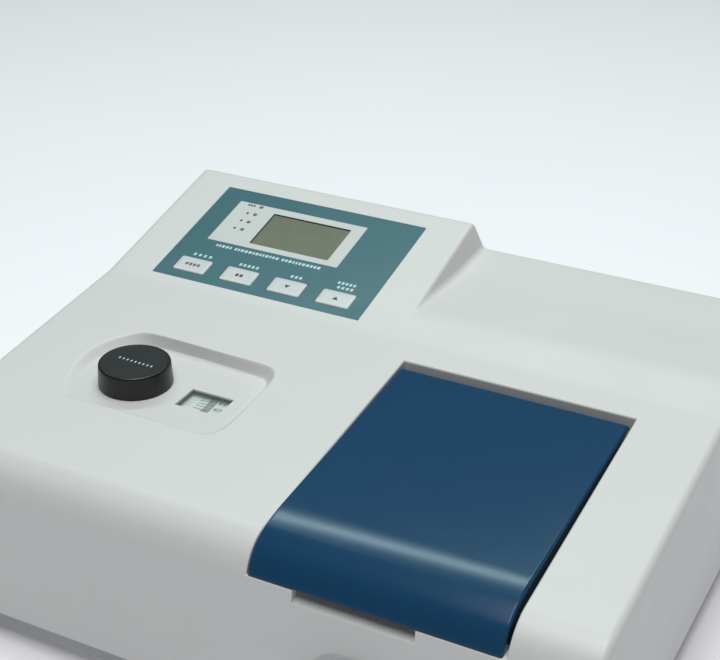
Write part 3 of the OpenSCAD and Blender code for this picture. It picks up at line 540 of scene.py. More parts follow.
# --- sample opening: rounded edge, walls
RO = 1.3
i_list = list(range(iSill, iOY1 + 1))
for sgn, j, xe in ((1, jO0, OX0), (-1, jO1, OX1)):
    P = np.array([(pts[i][j][1], pts[i][j][2]) for i in i_list])
    N = prof_normals(P)
    for n_, i in enumerate(i_list):
        if rows[i][0] == "r":
            a = math.radians(rows[i][1]); N[n_] = (math.cos(a), math.sin(a))
        else:
            N[n_] = (-SF / math.sqrt(1 + SF * SF), 1 / math.sqrt(1 + SF * SF))
    strip = []
    for q in range(0, 6):
        ph = math.pi / 2 * q / 5
        x = (xe - sgn * RO) + sgn * RO * math.sin(ph)
        line = []
        for n_ in range(len(i_list)):
            y = P[n_, 0] - N[n_, 0] * RO * (1 - math.cos(ph))
            z = P[n_, 1] - N[n_, 1] * RO * (1 - math.cos(ph))
            if n_ == len(i_list) - 1:
                y = OY + RO - RO * math.sin(ph)
                z = float(deck(OY + RO)) - SF * (OY + RO - y) - RO * (1 - math.cos(ph))
            line.append((x, y, z))
        line[0] = (x, line[0][1], 115.0)
        strip.append(line)
    # drop the row at OY that would fold past the mitre
    kk = i_list.index(iOY)
    strip = [[p for n_, p in enumerate(l) if n_ != kk] for l in strip]
    shell.grid(strip)
    edge = strip[-1]
    loop = list(edge) + [(xe, OY, 122.0), (xe, -164.0, 122.0), (xe, -164.0, 101.0), (xe, -176.0, 101.0), (xe, -176.0, 115.0)]
    shell.poly([loop])
# rear wall of the opening
strip = []
for q in range(0, 6):
    ph = math.pi / 2 * q / 5
    y = OY + RO - RO * math.sin(ph)
    z = float(deck(OY + RO)) - SF * (OY + RO - y) - RO * (1 - math.cos(ph))
    x0 = OX0 - RO + RO * math.sin(ph); x1 = OX1 + RO - RO * math.sin(ph)
    xsr = [x0, 30, 49.9, 56, 110, 124.7, 150, x1]
    strip.append([(x, y, z) for x in xsr])
strip.append([(x, OY, 122.0) for x in [OX0, 30, 49.9, 56, 110, 124.7, 150, OX1]])
shell.grid(strip)
shell.grid([[(OX0 - 2.5, OY, 122), (OX1 + 2.5, OY, 122)], [(OX0 - 2.5, OY + 2.5, 122), (OX1 + 2.5, OY + 2.5, 122)]])
# sill under the lid's front lip, with the finger notch cut into it
ySill = pts[iSill][jO0][1]
xs_sill = [19.2, 30, 49.9, 56, 110, 124.7, 150, 177.5]


def sill_seg(x0, x1):
    shell.grid([[(x0, ySill, 115.0), (x1, ySill, 115.0)], [(x0, ySill + 0.8, 115.35), (x1, ySill + 0.8, 115.35)], [(x0, -164, 115.35), (x1, -164, 115.35)], [(x0, -164, 101), (x1, -164, 101)]])


sill_seg(OX0 - RO, 49.9)
sill_seg(124.7, OX1 + RO)
yN = YF + 10
shell.grid([[(49.9, YF, 106.7), (124.7, YF, 106.7)], [(49.9, YF + 0.5, 107.1), (124.7, YF + 0.5, 107.1)], [(49.9, yN, 111.6), (124.7, yN, 111.6)], [(49.9, yN, 115.35), (124.7, yN, 115.35)], [(49.9, -164, 115.35), (124.7, -164, 115.35)], [(49.9, -164, 101), (124.7, -164, 101)]])
fr = [(pts[i][jN0][1], pts[i][jN0][2]) for i in range(iF106, iSill + 1)]
for x in (49.9, 124.7):
    shell.poly([[(x, y, z) for y, z in fr] + [(x, yN, 115.35), (x, yN, 111.6), (x, YF + 0.5, 107.1)]])


# --- film seat: shallow step, and the panel under the film with its openings
seat = [(x, y) for x, y in rrect2(-194.3, -28.3, 10.0, 120.6, 0.01, 1)]
shell.wall([pnl(x, y, 0) for x, y in seat], tuple(np.array(pnl(0, 0, -0.6)) - np.array(pnl(0, 0, 0))))
holes = [rrect2(-147.5, -75.3, 58.7, 104.3, 1, 3)] + [rrect2(c - 13.6, c + 13.6, 17.2, 34.1, 2, 4) for c, _, _ in KEYS]
shell.poly([[pnl(x, y, -0.6) for x, y in seat]] + [[pnl(x, y, -0.6) for x, y in h] for h in holes])
dn = tuple(np.array(pnl(0, 0, -2.2)) - np.array(pnl(0, 0, 0)))
for h in holes:
    shell.wall([pnl(x, y, -0.6) for x, y in h], dn)


# --- knob recess: the edge in the deck and the edge of the floor run side by side
REC_TOP = [(-62, -97.2), (-73, -97.3), (-103, -96.8), (-134, -96.7), (-152, -97.2), (-158.5, -97.5), (-162.8, -96.2), (-165.6, -93), (-168, -88.5),
           (-171.5, -81), (-175.3, -71), (-177.6, -57.5), (-176.9, -45), (-173.2, -34), (-168, -25.2), (-160.5, -18.3), (-152.3, -15.2),
           (-142.6, -14.7), (-126.5, -14.9), (-94.3, -15.8), (-72, -16), (-60, -16.2), (-54, -17.6), (-49.6, -21.3), (-47.2, -27.5),
           (-46.5, -36), (-46.6, -46), (-46.8, -60), (-47, -75), (-48, -86), (-51.5, -93.5), (-57, -96.6)]
REC_FLOOR = [(-64, -96.2), (-74, -96.3), (-104, -95.6), (-134, -95.5), (-151, -95.8), (-155.8, -95.6), (-158.2, -94.4), (-159.9, -91.5), (-161.4, -86.5),
             (-163.9, -79), (-166.6, -70.5), (-168.8, -57.5), (-168.6, -47), (-165.8, -37.5), (-161.3, -29.5), (-155.5, -22.5), (-149.5, -18.2),
             (-141.5, -16.4), (-127, -16), (-95, -17.2), (-73, -19.2), (-63, -20.4), (-58, -21.8), (-54.6, -25), (-52.6, -30),
             (-51.6, -38), (-51, -47), (-50.4, -58), (-50, -74), (-51, -84.5), (-54, -91.5), (-59, -95.0)]


def loop_curve(P, m=9):
    """closed curve through P, m points a span"""
    P = np.array(P, float)
    n = len(P)
    out = []
    for k in range(n):
        p0, p1, p2, p3 = P[k - 1], P[k], P[(k + 1) % n], P[(k + 2) % n]
        d0, d1, d2 = (max(np.linalg.norm(a_ - b_), 1e-6) ** 0.5 for a_, b_ in ((p1, p0), (p2, p1), (p3, p2)))
        m1 = (p1 - p0) / d0 - (p2 - p0) / (d0 + d1) + (p2 - p1) / d1
        m2 = (p2 - p1) / d1 - (p3 - p1) / (d1 + d2) + (p3 - p2) / d2
        for q in range(m):
            t = q / m
            out.append((2 * t ** 3 - 3 * t ** 2 + 1) * p1 + (t ** 3 - 2 * t ** 2 + t) * m1 * d1 + (3 * t ** 2 - 2 * t ** 3) * p2 + (t ** 3 - t ** 2) * m2 * d1)
    out = np.array(out)
    for _ in range(6):
        out = 0.25 * np.roll(out, 1, 0) + 0.5 * out + 0.25 * np.roll(out, -1, 0)
    return out


OT, OF_ = loop_curve(REC_TOP), loop_curve(REC_FLOOR)
rings = []
MR = 19
secs = []
for k in range(len(OT)):
    dv = OT[k] - OF_[k]
    D = float(np.linalg.norm(dv))
    dv = dv / D
    p_out, p_in = OT[k] + dv * 0.55, OF_[k] - dv * 0.55
    D2 = D + 1.1
    H = max(float(deck(p_out[1])) - ZR, 0.02)
    u = np.linspace(0, 1, 161)
    f1, f2 = 0.34, 0.30
    w = np.where(u < f1, u * u / (2 * f1), np.where(u > 1 - f2, 1 - f1 / 2 - f2 / 2 - (1 - u) ** 2 / (2 * f2), u - f1 / 2))
    w = w / w[-1]
    xi, zi = resample(u * D2, w * H, MR, 1.4)
    secs.append((p_in, dv, xi, zi / zi[-1]))
for m_ in range(MR):
    ring = []
    for k in range(len(OT)):
        p_in, dv, xi, wi = secs[k]
        px, py = p_in + dv * xi[m_]
        z = (1 - wi[m_]) * ZR + wi[m_] * float(deck(py))
        ring.append((px, py, z))
    ring.append(ring[0])
    rings.append(ring)
shell.grid(rings)
yy0, yy1 = -112.0, -8.0
blk = [(-182, yy0), (-38, yy0), (-38, yy1), (-182, yy1)]
shell.poly([[(x, y, float(deck(y))) for x, y in blk], rings[-1][:-1]])
win = [(-92.5, -73.7), (-61.8, -73.7), (-61.8, -52.3), (-92.5, -52.3)]
kn = [(KX + 6.2 * math.cos(a), KY + 6.2 * math.sin(a)) for a in np.linspace(0, 2 * math.pi, 25)[:-1]]
shell.poly([[(p[0], p[1], ZR) for p in rings[0][:-1]], [(x, y, ZR) for x, y in win], [(x, y, ZR) for x, y in kn]])
shell.wall([(x, y, ZR) for x, y in win], (0, 0, -1.4))
win2 = [(-94.3, -75.5), (-60, -75.5), (-60, -50.5), (-94.3, -50.5)]
shell.poly([[(x, y, ZR - 1.4) for x, y in win2], [(x, y, ZR - 1.4) for x, y in win]])
shell.wall([(x, y, ZR - 1.4) for x, y in win2], (0, 0, -1.1))
shell.wall([(x, y, ZR) for x, y in kn], (0, 0, -2.5))

# --- pull-rod well in the front face
wl = [(RX + 24.4 * math.cos(a), RZ + 24.4 * math.sin(a)) for a in np.linspace(0, 2 * math.pi, 73)[:-1]]
shell.poly([[(56, YF, 32), (110, YF, 32), (110, YF, 86), (56, YF, 86)], [(x, YF, z) for x, z in wl]])
prof = [(24.4, 0.0), (24.1, 0.04), (23.8, 0.16), (23.55, 0.4), (23.42, 0.75), (23.4, 1.0), (23.4, 5.6), (23.2, 6.3), (22.7, 6.8), (22.0, 7.0), (12.0, 7.0), (8.05, 7.0), (8.05, 9.5)]
shell.grid([[(RX + r * math.cos(a), YF + d, RZ + r * math.sin(a)) for a in np.linspace(0, 2 * math.pi, 73)] for r, d in prof])

# --- service opening edge, underside lip
bo = [(-204, 22), (-204, 134), (204, 134), (204, 22)]
shell.wall([(x, YR, z) for x, z in bo], (0, -2.8, 0), closed=False)
# lower rim and the inside face of the walls
ri = 2.8
outer = [(-W2, -172), (-W2 + 0, 174), (-222.5, YR), (-204, YR)]
rim_o = [(x, y) for x, y in [(204, YR), (222.5, YR)] + [(W2 - RE + RE * math.sin(a), YR - RE + RE * math.cos(a)) for a in np.linspace(0, math.pi / 2, 7)[1:]] + [(W2, YF + RE)] + [(W2 - RE + RE * math.cos(a), YF + RE - RE * math.sin(a)) for a in np.linspace(0, math.pi / 2, 7)[1:]] + [(-W2 + RE - RE * math.sin(a), YF + RE - RE * math.cos(a)) for a in np.linspace(0, math.pi / 2, 7)] + [(-W2, YR - RE)] + [(-W2 + RE - RE * math.cos(a), YR - RE + RE * math.sin(a)) for a in np.linspace(0, math.pi / 2, 7)[1:]] + [(-204, YR)]]
def inset(p):
    x, y = p
    return (max(-W2 + ri, min(W2 - ri, x)), max(YF + ri, min(YR - ri, y)))
rim_i = [inset(p) for p in rim_o]
rim_i[0] = (204, YR - ri); rim_i[-1] = (-204, YR - ri)
shell.grid([[(x, y, ZBOT) for x, y in rim_o], [(x, y, ZBOT) for x, y in rim_i], [(x, y, 100.0) for x, y in rim_i]])

cover = obj("cover_shell", shell.v, shell.f, M["case"], merge=2e-5)
recalc(cover)
wn(cover, 32)
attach(cover, "case"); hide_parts("top_cover")

# ------------------------------------------------------------------ control panel
film = Acc()
lcdw = rrect2(-143.5, -79.3, 62.7, 100.3, 0.8, 3)
khole = [rrect2(c - 13.25, c + 13.25, 17.6, 33.7, 1.9, 6) for c, _, _ in KEYS]
fo = rrect2(-194.1, -28.5, 10.2, 120.4, 1.6, 5)
film.poly([[pnl(x, y, -0.04) for x, y in fo], [pnl(x, y, -0.04) for x, y in lcdw]] + [[pnl(x, y, -0.04) for x, y in h] for h in khole])
dfn = tuple(np.array(pnl(0, 0, -0.5)) - np.array(pnl(0, 0, 0)))
for l in [fo, lcdw] + khole:
    film.wall([pnl(x, y, -0.04) for x, y in l], dfn)
o_film = obj("control_film", film.v, film.f, M["film"], merge=2e-5)
recalc(o_film)
wn(o_film, 30)
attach(o_film, "case"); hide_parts("control_overlay")


def flat(name, polys, mat, z=0.0, t=0.05, body="case", frame_fn=None):
    """thin printed shapes on the panel; polys: list of loops or (outer, holes...)"""
    a = Acc()
    ff = frame_fn or pnl
    dd = tuple(np.array(ff(0, 0, -t)) - np.array(ff(0, 0, 0)))
    for pl in polys:
        loops = pl if isinstance(pl[0][0], (tuple, list)) else [pl]
        a.poly([[ff(x, y, z) for x, y in l] for l in loops])
        for l in loops:
            a.wall([ff(x, y, z) for x, y in l], dd)
    o = obj(name, a.v, a.f, mat, smooth=False, merge=0)
    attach(o, body)
    return o


def bar(x, y, w, h, r=None):
    return rrect2(x - w / 2, x + w / 2, y - h / 2, y + h / 2, min(r if r else h * 0.45, h * 0.49, w * 0.49), 3)


ins = flat("film_inset", [[rrect2(-176.1, -69.0, 57.2, 106.9, 0.8, 4), rrect2(-143.7, -79.1, 62.5, 100.5, 0.9, 3)] ], M["inset"], z=0.01)
# mode lamps with small ticks beside them in place of letters
marks = []
for i in range(4):
    y = LY - LP * i
    if i == 0:
        for dx in (-10.6, -8.3, -6.0):
            marks.append(bar(LX + dx, y, 1.6, 2.2, 0.3))
    else:
        marks.append(bar(LX - 6.4, y, 1.8, 2.2, 0.3))
flat("mode_marks", marks, M["inkd"], z=0.03, t=0.02)
rings_ = []
for i in range(4):
    y = LY - LP * i
    rings_.append([[(LX + 1.75 * math.cos(a), y + 1.75 * math.sin(a)) for a in np.linspace(0, 2 * math.pi, 25)[:-1]], [(LX + 1.4 * math.cos(a), y + 1.4 * math.sin(a)) for a in np.linspace(0, 2 * math.pi, 25)[:-1]]])
flat("lamp_rings", rings_, M["inkd"], z=0.03, t=0.02)
# a plain dashed rule where the printed line was
dash = []
x = -165.5
rnd = random.Random(3)
while x < -80.5:
    w = rnd.choice([1.5, 1.9, 2.3])
    dash.append(bar(x + w / 2, 52.6, w, 2.8, 0.4))
    x += w + (0.95 if rnd.random() < 0.88 else 2.6)
flat("film_rule", dash, M["inkw"], z=0.0, t=0.03)
# legends over the keys: plain ticks
leg = []
for (cx, _, _), n in zip(KEYS, (4, 5, 3, 4)):
    for k in range(n):
        xx = cx + (k - (n - 1) / 2) * (4.3 if n == 4 and cx < -160 else 3.4) + 1.0
        leg.append(bar(xx, 38.0, 2.0, 2.8, 0.4))
    if cx > -60:
        for k in range(5):
            leg.append(bar(cx + (k - 2) * 3.0, 42.8, 1.9, 2.7, 0.4))
flat("key_legends", leg, M["inkw"], z=0.0, t=0.03)
frame_line = []


# ------------------------------------------------------------------ keys
def keycap(cx, node, body, glyph):
    a = Acc()
    prof = [(-0.9, -1.6), (-0.25, -1.6), (-0.02, -0.4), (0.0, -0.1), (0.06, 0.18), (0.22, 0.42), (0.48, 0.60), (0.85, 0.70), (1.4, 0.76), (3.2, 0.80)]
    rws = []
    for d, z in prof:
        d2 = max(d, -0.2) if z < -1 else d
        rws.append([pnl(x, y, z) for x, y in rrect2(cx - 12.95 + d, cx + 12.95 - d, KY0 + d, KY1 - d, max(0.5, 1.7 - d * 0.35), 8)])
        rws[-1].append(rws[-1][0])
    a.grid(rws)
    top = rws[-1][:-1]
    a.poly([top])
    a.poly([rws[0][:-1]])
    # stem
    st = [[pnl(cx + 2.2 * math.cos(t), 25.6 + 2.2 * math.sin(t), z) for t in np.linspace(0, 2 * math.pi, 25)] for z in (-1.6, -7.6)]
    a.grid(st)
    a.poly([st[1][:-1]])
    o = obj(node + "_cap", a.v, a.f, M["key"], merge=2e-5)
    recalc(o)
    wn(o, 50)
    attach(o, body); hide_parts(node)
    g = flat(node + "_mark", glyph, M["inkd"] if node != "mode_key" else M["inkr"], z=0.83, t=0.06, body=body)
    return o


def tri(cx, cy, w, h, up):
    s = 1 if up else -1
    return [(cx - w / 2, cy - s * h / 2), (cx + w / 2, cy - s * h / 2), (cx, cy + s * h / 2)] if up else [(cx - w / 2, cy + h / 2), (cx, cy - h / 2), (cx + w / 2, cy + h / 2)]


cy = 25.65
keycap(KEYS[0][0], "mode_key", "key_mode", [bar(KEYS[0][0] + dx, cy, 2.3, 2.9, 0.5) for dx in (-4.8, -1.6, 1.6, 4.8)])
keycap(KEYS[1][0], "print_key", "key_print", [bar(KEYS[1][0] + dx, cy, 2.4, 3.0, 0.5) for dx in (-1.7, 1.7)])
keycap(KEYS[2][0], "down_key", "key_down", [tri(KEYS[2][0], cy, 4.4, 3.4, False)])
keycap(KEYS[3][0], "up_key", "key_up", [tri(KEYS[3][0], cy, 4.4, 3.4, True)])


# ------------------------------------------------------------------ wavelength knob
def knob():
    a = Acc()
    NT = 240
    prof = [(7.0, 0.6), (20.0, 0.6), (23.5, 0.6), (23.9, 0.72), (24.1, 1.05), (24.08, 2.0), (23.8, 7.0), (23.5, 12.6), (23.46, 13.4), (23.40, 14.0), (23.30, 14.6), (23.12, 15.05), (22.85, 15.38), (22.5, 15.56), (22.2, 15.6)]
    rws = [[(KX + r * math.cos(t), KY + r * math.sin(t), ZR + z) for t in np.linspace(0, 2 * math.pi, NT + 1)] for r, z in prof]
    a.grid(rws)
    o = obj("knob_body", a.v, a.f, M["knob"], merge=2e-5)
    wn(o, 45)
    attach(o, "knob"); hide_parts("wavelength_knob")
    b = Acc()
    NT = 96
    prof = [(22.3, 15.6), (22.0, 15.57), (21.75, 15.4), (21.6, 15.22), (21.25, 15.14), (18, 15.1), (10, 15.06), (0.02, 15.05)]
    rws = [[(KX + r * math.cos(t), KY + r * math.sin(t), ZR + z) for t in np.linspace(0, 2 * math.pi, NT + 1)] for r, z in prof]
    b.grid(rws)
    o2 = obj("knob_disc", b.v, b.f, M["knobtop"], merge=2e-5)
    wn(o2, 45)
    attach(o2, "knob")
    # plain row of ticks where the lettering was
    t = []
    ang = math.radians(-2)
    for k in range(9):
        u = (k - 4) * 3.1
        cx_, cy_ = KX + u * math.cos(ang) + 0.5, KY + 0.5 + u * math.sin(ang)
        t.append([(cx_ + dx, cy_ + dy) for dx, dy in ((-0.45, -1.0), (0.45, -1.0), (0.45, 1.0), (-0.45, 1.0))])
    flat("knob_marks", t, M["white"], z=ZR + 15.12, t=0.06, body="knob", frame_fn=lambda x, y, z: (x, y, z))
    return o


knob()


# ------------------------------------------------------------------ sample lid
def lid():
    a = Acc()
    R = 33.0
    s = 0.064
    ZL = 149.7
    n = math.sqrt(1 + s * s)
    yc = YF - 0.5 + R
    zc = ZL + s * (yc - 20.7) - R * n
    X0, X1, rl = 21.0, 173.8, 1.6
    P, N = [], []
    # front lip (bottom) -> roll -> gentler shoulder -> top -> rear edge
    R2 = 115.0
    a_top = 90 + math.degrees(math.atan(s))
    a_sh = a_top + 10.5
    # the shoulder's arc is tangent to the top plane; the roll is tangent to the shoulder and keeps the lip's place
    R1 = R - 2.2
    u0, u1 = math.radians(a_sh), math.radians(a_top)
    yl = yc - math.sqrt(R * R - (116 - zc) ** 2)
    lo_, hi_ = yc - 5.0, yc + 45.0
    for _ in range(60):
        ys = 0.5 * (lo_ + hi_)                              # centre of the shoulder arc
        zs = ZL + s * (ys - 20.7) - R2 * n
        y1_, z1_ = ys + (R2 - R1) * math.cos(u0), zs + (R2 - R1) * math.sin(u0)
        yy = y1_ - math.sqrt(max(R1 * R1 - (116 - z1_) ** 2, 0.0))
        if yy > yl:
            hi_ = ys
        else:
            lo_ = ys
    abot = 180 - math.degrees(math.asin((116 - z1_) / R1))
    for t in np.linspace(0, 1, 26):
        ang = math.radians(abot + (a_sh - abot) * t)
        P.append((y1_ + R1 * math.cos(ang), z1_ + R1 * math.sin(ang))); N.append((math.cos(ang), math.sin(ang)))
    for t in np.linspace(0, 1, 8)[1:]:
        ang = u0 + (u1 - u0) * t
        P.append((ys + R2 * math.cos(ang), zs + R2 * math.sin(ang))); N.append((math.cos(ang), math.sin(ang)))
    for y in (-100, -60, -20, 5):
        P.append((y, ZL + s * (y - 20.7))); N.append((-s / n, 1 / n))
    re_ = 4.0
    yr = 20.7 - re_
    zr = ZL + s * (yr - 20.7) - re_ * n
    for t in np.linspace(0, 1, 7):
        ang = (math.pi / 2 + math.atan(s)) * (1 - t)
        P.append((yr + re_ * math.cos(ang), zr + re_ * math.sin(ang))); N.append((math.cos(ang), math.sin(ang)))
    P = np.array(P); N = np.array(N)
    xs = [X0 + rl, 60, 97, 134, X1 - rl]
    # outer sheet with rounded sides
    cols_ = []
    for q in range(6, -1, -1):
        ph = math.pi / 2 * q / 6
        cols_.append([(X0 + rl - rl * math.sin(ph), P[i, 0] - N[i, 0] * rl * (1 - math.cos(ph)), P[i, 1] - N[i, 1] * rl * (1 - math.cos(ph))) for i in range(len(P))])
    for x in xs[1:-1]:
        cols_.append([(x, P[i, 0], P[i, 1]) for i in range(len(P))])
    for q in range(0, 7):
        ph = math.pi / 2 * q / 6
        cols_.append([(X1 - rl + rl * math.sin(ph), P[i, 0] - N[i, 0] * rl * (1 - math.cos(ph)), P[i, 1] - N[i, 1] * rl * (1 - math.cos(ph))) for i in range(len(P))])
    # keep the lip's bottom edge level
    for c in cols_:
        c[0] = (c[0][0], c[0][1], 116.0)
    a.grid(cols_)
    # inner sheet, 3 mm inside
    T = 3.0
    Pi = [(P[i, 0] - N[i, 0] * T, P[i, 1] - N[i, 1] * T) for i in range(len(P)) if P[i, 0] < 16]
    Pi[0] = (Pi[0][0], 116.0)
    # clip lip interior so the bottom is level
    Pi = [(y, max(z, 116.0)) for y, z in Pi]
    Pi.append((16.9, ZL + s * (16.9 - 20.7) - T * n))
    xi0, xi1 = X0 + 2.6, X1 - 2.6
    a.grid([[(x, y, z) for y, z in Pi] for x in (xi0, 60, 97, 134, xi1)])
    # side skirts
    for xo, xi_, cc in ((X0, xi0, cols_[0]), (X1, xi1, cols_[-1])):
        edge = [p for p in cc]
        low = [(3.7, 136.0), (-120, 126.0), (-140, 116.0)]
        ue = (3.7, ZL + s * (3.7 - 20.7) - T * n)
        last = edge[-1]
        loop = [(xo, p[1], p[2]) for p in edge] + [(xo, 20.7, 145.5), (xo, 20.3, 146.4), (xo, 16.9, 146.4), (xo, ue[0], ue[1])] + [(xo, y, z) for y, z in low]
        a.poly([loop])
        inner = [(xi_, y, z) for y, z in Pi if y < 3.7] + [(xi_, ue[0], ue[1])] + [(xi_, y, z) for y, z in low]
        a.poly([inner])
        a.grid([[(xo, ue[0], ue[1])] + [(xo, y, z) for y, z in low] + [(xo, edge[0][1], 116.0)], [(xi_, ue[0], ue[1])] + [(xi_, y, z) for y, z in low] + [(xi_, Pi[0][0], 116.0)]])
    # lip bottom and rear underside
    a.grid([[(c[0][0], c[0][1], 116.0) for c in cols_], [(min(max(c[0][0], xi0), xi1), Pi[0][0], 116.0) for c in cols_]])
    y_l, z_l = Pi[-1]
    a.grid([[(X0, 20.7, 145.5), (X1, 20.7, 145.5)], [(X0, 20.3, 146.4), (X1, 20.3, 146.4)], [(X0, y_l, z_l), (X1, y_l, z_l)], [(X0, 3.7, ZL + s * (3.7 - 20.7) - T * n), (X1, 3.7, ZL + s * (3.7 - 20.7) - T * n)]])
    o = obj("lid_shell", a.v, a.f, M["lid"], merge=2e-5)
    recalc(o)
    wn(o, 40)
    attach(o, "lid"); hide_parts("sample_lid")
    # hinge ears
    e = Acc()
    for x in (41, 149):
        L_ = [(HY - 12, 145.6), (HY - 4.2, HZ)] + [(HY - 4.2 * math.cos(t), HZ - 4.2 * math.sin(t)) for t in np.linspace(0.15, math.pi - 0.15, 14)] + [(HY + 4.2, HZ), (HY + 4.2, 146.6)]
        e.poly([[(x, y, z) for y, z in L_]]); e.poly([[(x + 4, y, z) for y, z in L_]])
        e.wall([(x, y, z) for y, z in L_], (4, 0, 0))
    oe = obj("lid_ears", e.v, e.f, M["lid"], merge=2e-5)
    recalc(oe); wn(oe, 40)
    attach(oe, "lid")
    return o


lid()


# ------------------------------------------------------------------ wavelength dial
def dial():
    a = Acc()
    NT = 180
    prof = [(10.0, 134.45), (68.6, 134.45), (69.0, 134.3), (69.02, 133.4), (68.6, 133.15), (10, 133.15)]
    rws = [[(KX + r * math.cos(t), KY + r * math.sin(t), z) for t in np.linspace(0, 2 * math.pi, NT + 1)] for r, z in prof]
    a.grid(rws)
    o = obj("dial_face", a.v, a.f, M["dial"], merge=2e-5)
    recalc(o); wn(o, 40)
    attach(o, "dial")
    b = Acc()
    # graduations: 190 to 1000 nm over 324 degrees, 595 nm under the index at rest
    for nm in range(190, 1001, 2):
        t = math.radians((nm - 595) * 0.4)
        r1 = 62.5
        ln = 11.5 if nm % 10 == 0 else 5.5
        w = 0.18 if nm % 10 else 0.26
        ct, st = math.cos(t), math.sin(t)
        q = [(44.5 + (11.5 - ln), -w), (44.5 + 11.5, -w), (44.5 + 11.5, w), (44.5 + (11.5 - ln), w)]
        P = [(KX + x * ct - y * st, KY + x * st + y * ct, 134.51) for x, y in q]
        b.add(P, [(0, 1, 2, 3)])
    ob = obj("dial_ticks", b.v, b.f, M["inkd"], smooth=False, merge=0)
    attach(ob, "dial")
    # numbers
    parts = []
    for nm in range(200, 1001, 20):
        cu = bpy.data.curves.new("num", "FONT")
        cu.body = str(nm)
        cu.size = 0.0056
        cu.align_x = "LEFT"; cu.align_y = "CENTER"
        cu.resolution_u = 2
        to = bpy.data.objects.new("num", cu)
        bpy.context.scene.collection.objects.link(to)
        t = math.radians((nm - 595) * 0.4)
        to.matrix_world = Matrix.Translation(Vector(V((KX, KY, 134.52)))) @ Matrix.Rotation(t, 4, "Z") @ Matrix.Translation((0.0572, 0, 0))
        bpy.context.view_layer.update()
        me = bpy.data.meshes.new_from_object(to)
        me.transform(to.matrix_world)
        parts.append(me)
        bpy.data.objects.remove(to)
    bm = bmesh.new()
    for me in parts:
        bm.from_mesh(me)
    me = bpy.data.meshes.new("dial_numbers")
    bm.to_mesh(me); bm.free()
    me.materials.append(M["inkd"])
    on = bpy.data.objects.new("dial_numbers", me)
    bpy.context.scene.collection.objects.link(on)
    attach(on, "dial")


dial()
# index line under the window
flat("window_index", [[(-92.4, -63.12), (-61.9, -63.12), (-61.9, -62.88), (-92.4, -62.88)]], make("index_red", (0.55, 0.20, 0.18), 0.5), z=ZR - 2.55, t=0.03, frame_fn=lambda x, y, z: (x, y, z))

# ------------------------------------------------------------------ CAD nodes: materials and small bevels
node_mat = {
    "base_tray": "base", "feet": "rubber", "foot_screws": "steel", "cover_screws": "steel", "rear_panel": "panel",
    "lcd_glass": "lcd", "lcd_module": "bezel", "mode_leds": "led", "key_switches": "dplast", "display_pcb": "pcb",
    "knob_grub_screw": "dsteel", "knob_shaft": "steel", "shaft_bushes": "brass", "layshaft": "brass", "dial_disc": "dial",
    "dial_window": "window", "drive_plate": "alu", "drive_pillars": "steel", "sector_arm": "brass", "grating_table": "alu",
    "grating": "grating", "mono_box": "cast", "mono_cover": "cast", "mono_mirrors": "mirror", "entrance_slit": "black",
    "exit_slit": "black", "condenser_tube": "black", "sample_tray": "black", "tray_windows": "quartz", "guide_rods": "steel",
    "cuvette_carriage": "black", "pull_rod": "steel", "pull_rod_knob": "knob", "rod_bush": "alu", "carriage_detent": "steel",
    "lid_baffle": "black", "hinge_brackets": "dsteel", "hinge_pins": "steel", "lamp_house": "alu", "halogen_lamp": "quartz",
    "deuterium_lamp": "quartz", "lamp_mirror": "mirror", "detector_housing": "cast", "main_pcb": "pcb", "transformer": "trafo",
    "fan_frame": "dplast", "fan_rotor": "dplast", "fan_guard": "chrome", "mains_inlet": "dplast", "power_switch": "dplast",
    "switch_rocker": "dplast", "fuse_serial": "dplast",
}
bevels = {"base_tray": 0.4, "feet": 0.8, "rear_panel": 0.3, "pull_rod_knob": 0.6, "rod_bush": 0.4, "mains_inlet": 0.4, "power_switch": 0.3,
          "switch_rocker": 0.3, "fuse_serial": 0.25, "cuvette_carriage": 0.4, "hinge_brackets": 0.3, "sample_tray": 0.3, "lid_baffle": 0.4, "lcd_module": 0.2}
for n, o in frame["nodes"].items():
    if n in node_mat:
        o.data.materials.clear()
        o.data.materials.append(M[node_mat[n]])
    if n in bevels:
        m = o.modifiers.new("edge", "BEVEL")
        m.width = bevels[n] * 0.001
        m.segments = 2
        m.limit_method = "ANGLE"
        m.angle_limit = math.radians(40)
        m.harden_normals = False
        m.use_clamp_overlap = True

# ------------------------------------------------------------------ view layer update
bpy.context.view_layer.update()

# ------------------------------------------------------------------ stage, light, camera
stage_m, nt, b = new_mat("stage")
tc = nt.nodes.new("ShaderNodeTexCoord")
nz = nt.nodes.new("ShaderNodeTexNoise"); nz.inputs["Scale"].default_value = 3
cr = nt.nodes.new("ShaderNodeValToRGB")
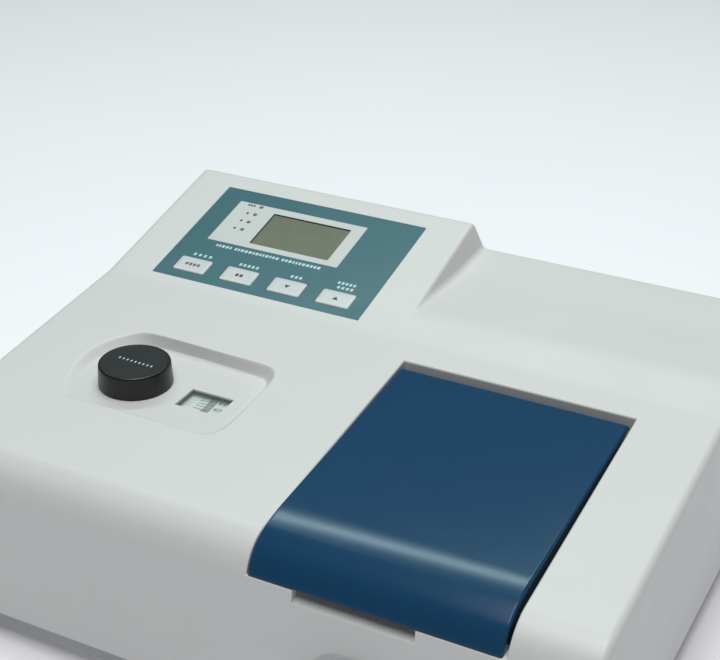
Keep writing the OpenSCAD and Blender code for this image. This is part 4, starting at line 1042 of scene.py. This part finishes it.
cr.color_ramp.elements[0].color = (0.88, 0.87, 0.90, 1); cr.color_ramp.elements[1].color = (0.90, 0.89, 0.92, 1)
nt.links.new(tc.outputs["Object"], nz.inputs["Vector"]); nt.links.new(nz.outputs[0], cr.inputs[0]); nt.links.new(cr.outputs[0], b.inputs["Base Color"])
b.inputs["Roughness"].default_value = 0.9
b.inputs["Specular IOR Level"].default_value = 0.2
b.inputs["Emission Color"].default_value = (0.985, 0.975, 1.0, 1)
b.inputs["Emission Strength"].default_value = 0.12
fl = obj("floor", [(-6, -6, 0), (6, -6, 0), (6, 6, 0), (-6, 6, 0)], [(0, 1, 2, 3)], stage_m, smooth=False, raw=True, merge=0)


def area(name, loc, target, size, power, color=(1, 1, 1), sy=None):
    d = bpy.data.lights.new(name, "AREA")
    d.energy = power
    d.color = color
    d.shape = "RECTANGLE"
    d.size = size
    d.size_y = sy or size
    o = bpy.data.objects.new(name, d)
    bpy.context.scene.collection.objects.link(o)
    o.location = loc
    o.rotation_euler = (Vector(target) - Vector(loc)).to_track_quat("-Z", "Y").to_euler()
    return o


area("strip", (-0.86, 1.36, 2.36), (0.05, -0.1, 0.14), 2.2, 21, (0.74, 1.0, 0.97), sy=0.15)
area("ceiling", (0.22, -0.35, 2.3), (0.22, -0.05, 0.1), 1.15, 43, (1.0, 1.0, 0.99), sy=1.9)
bpy.context.scene.view_settings.view_transform = "Standard"
w = bpy.data.worlds.new("w")
bpy.context.scene.world = w
w.use_nodes = True
bg = w.node_tree.nodes["Background"]
bg.inputs[0].default_value = (0.90, 0.93, 1.0, 1)
bg.inputs[1].default_value = 0.10

cam = bpy.data.cameras.new("cam")
co = bpy.data.objects.new("cam", cam)
bpy.context.scene.collection.objects.link(co)
bpy.context.scene.camera = co
Rm = Matrix(((0.88819, -0.21692, 0.40505), (0.45948, 0.41924, -0.78302), (0.00004, 0.88158, 0.47203)))
co.matrix_world = Matrix.Translation((0.389736, -0.742963, 0.634234)) @ Rm.to_4x4()
cam.lens = 76.31
cam.sensor_width = 36
cam.clip_start = 0.01
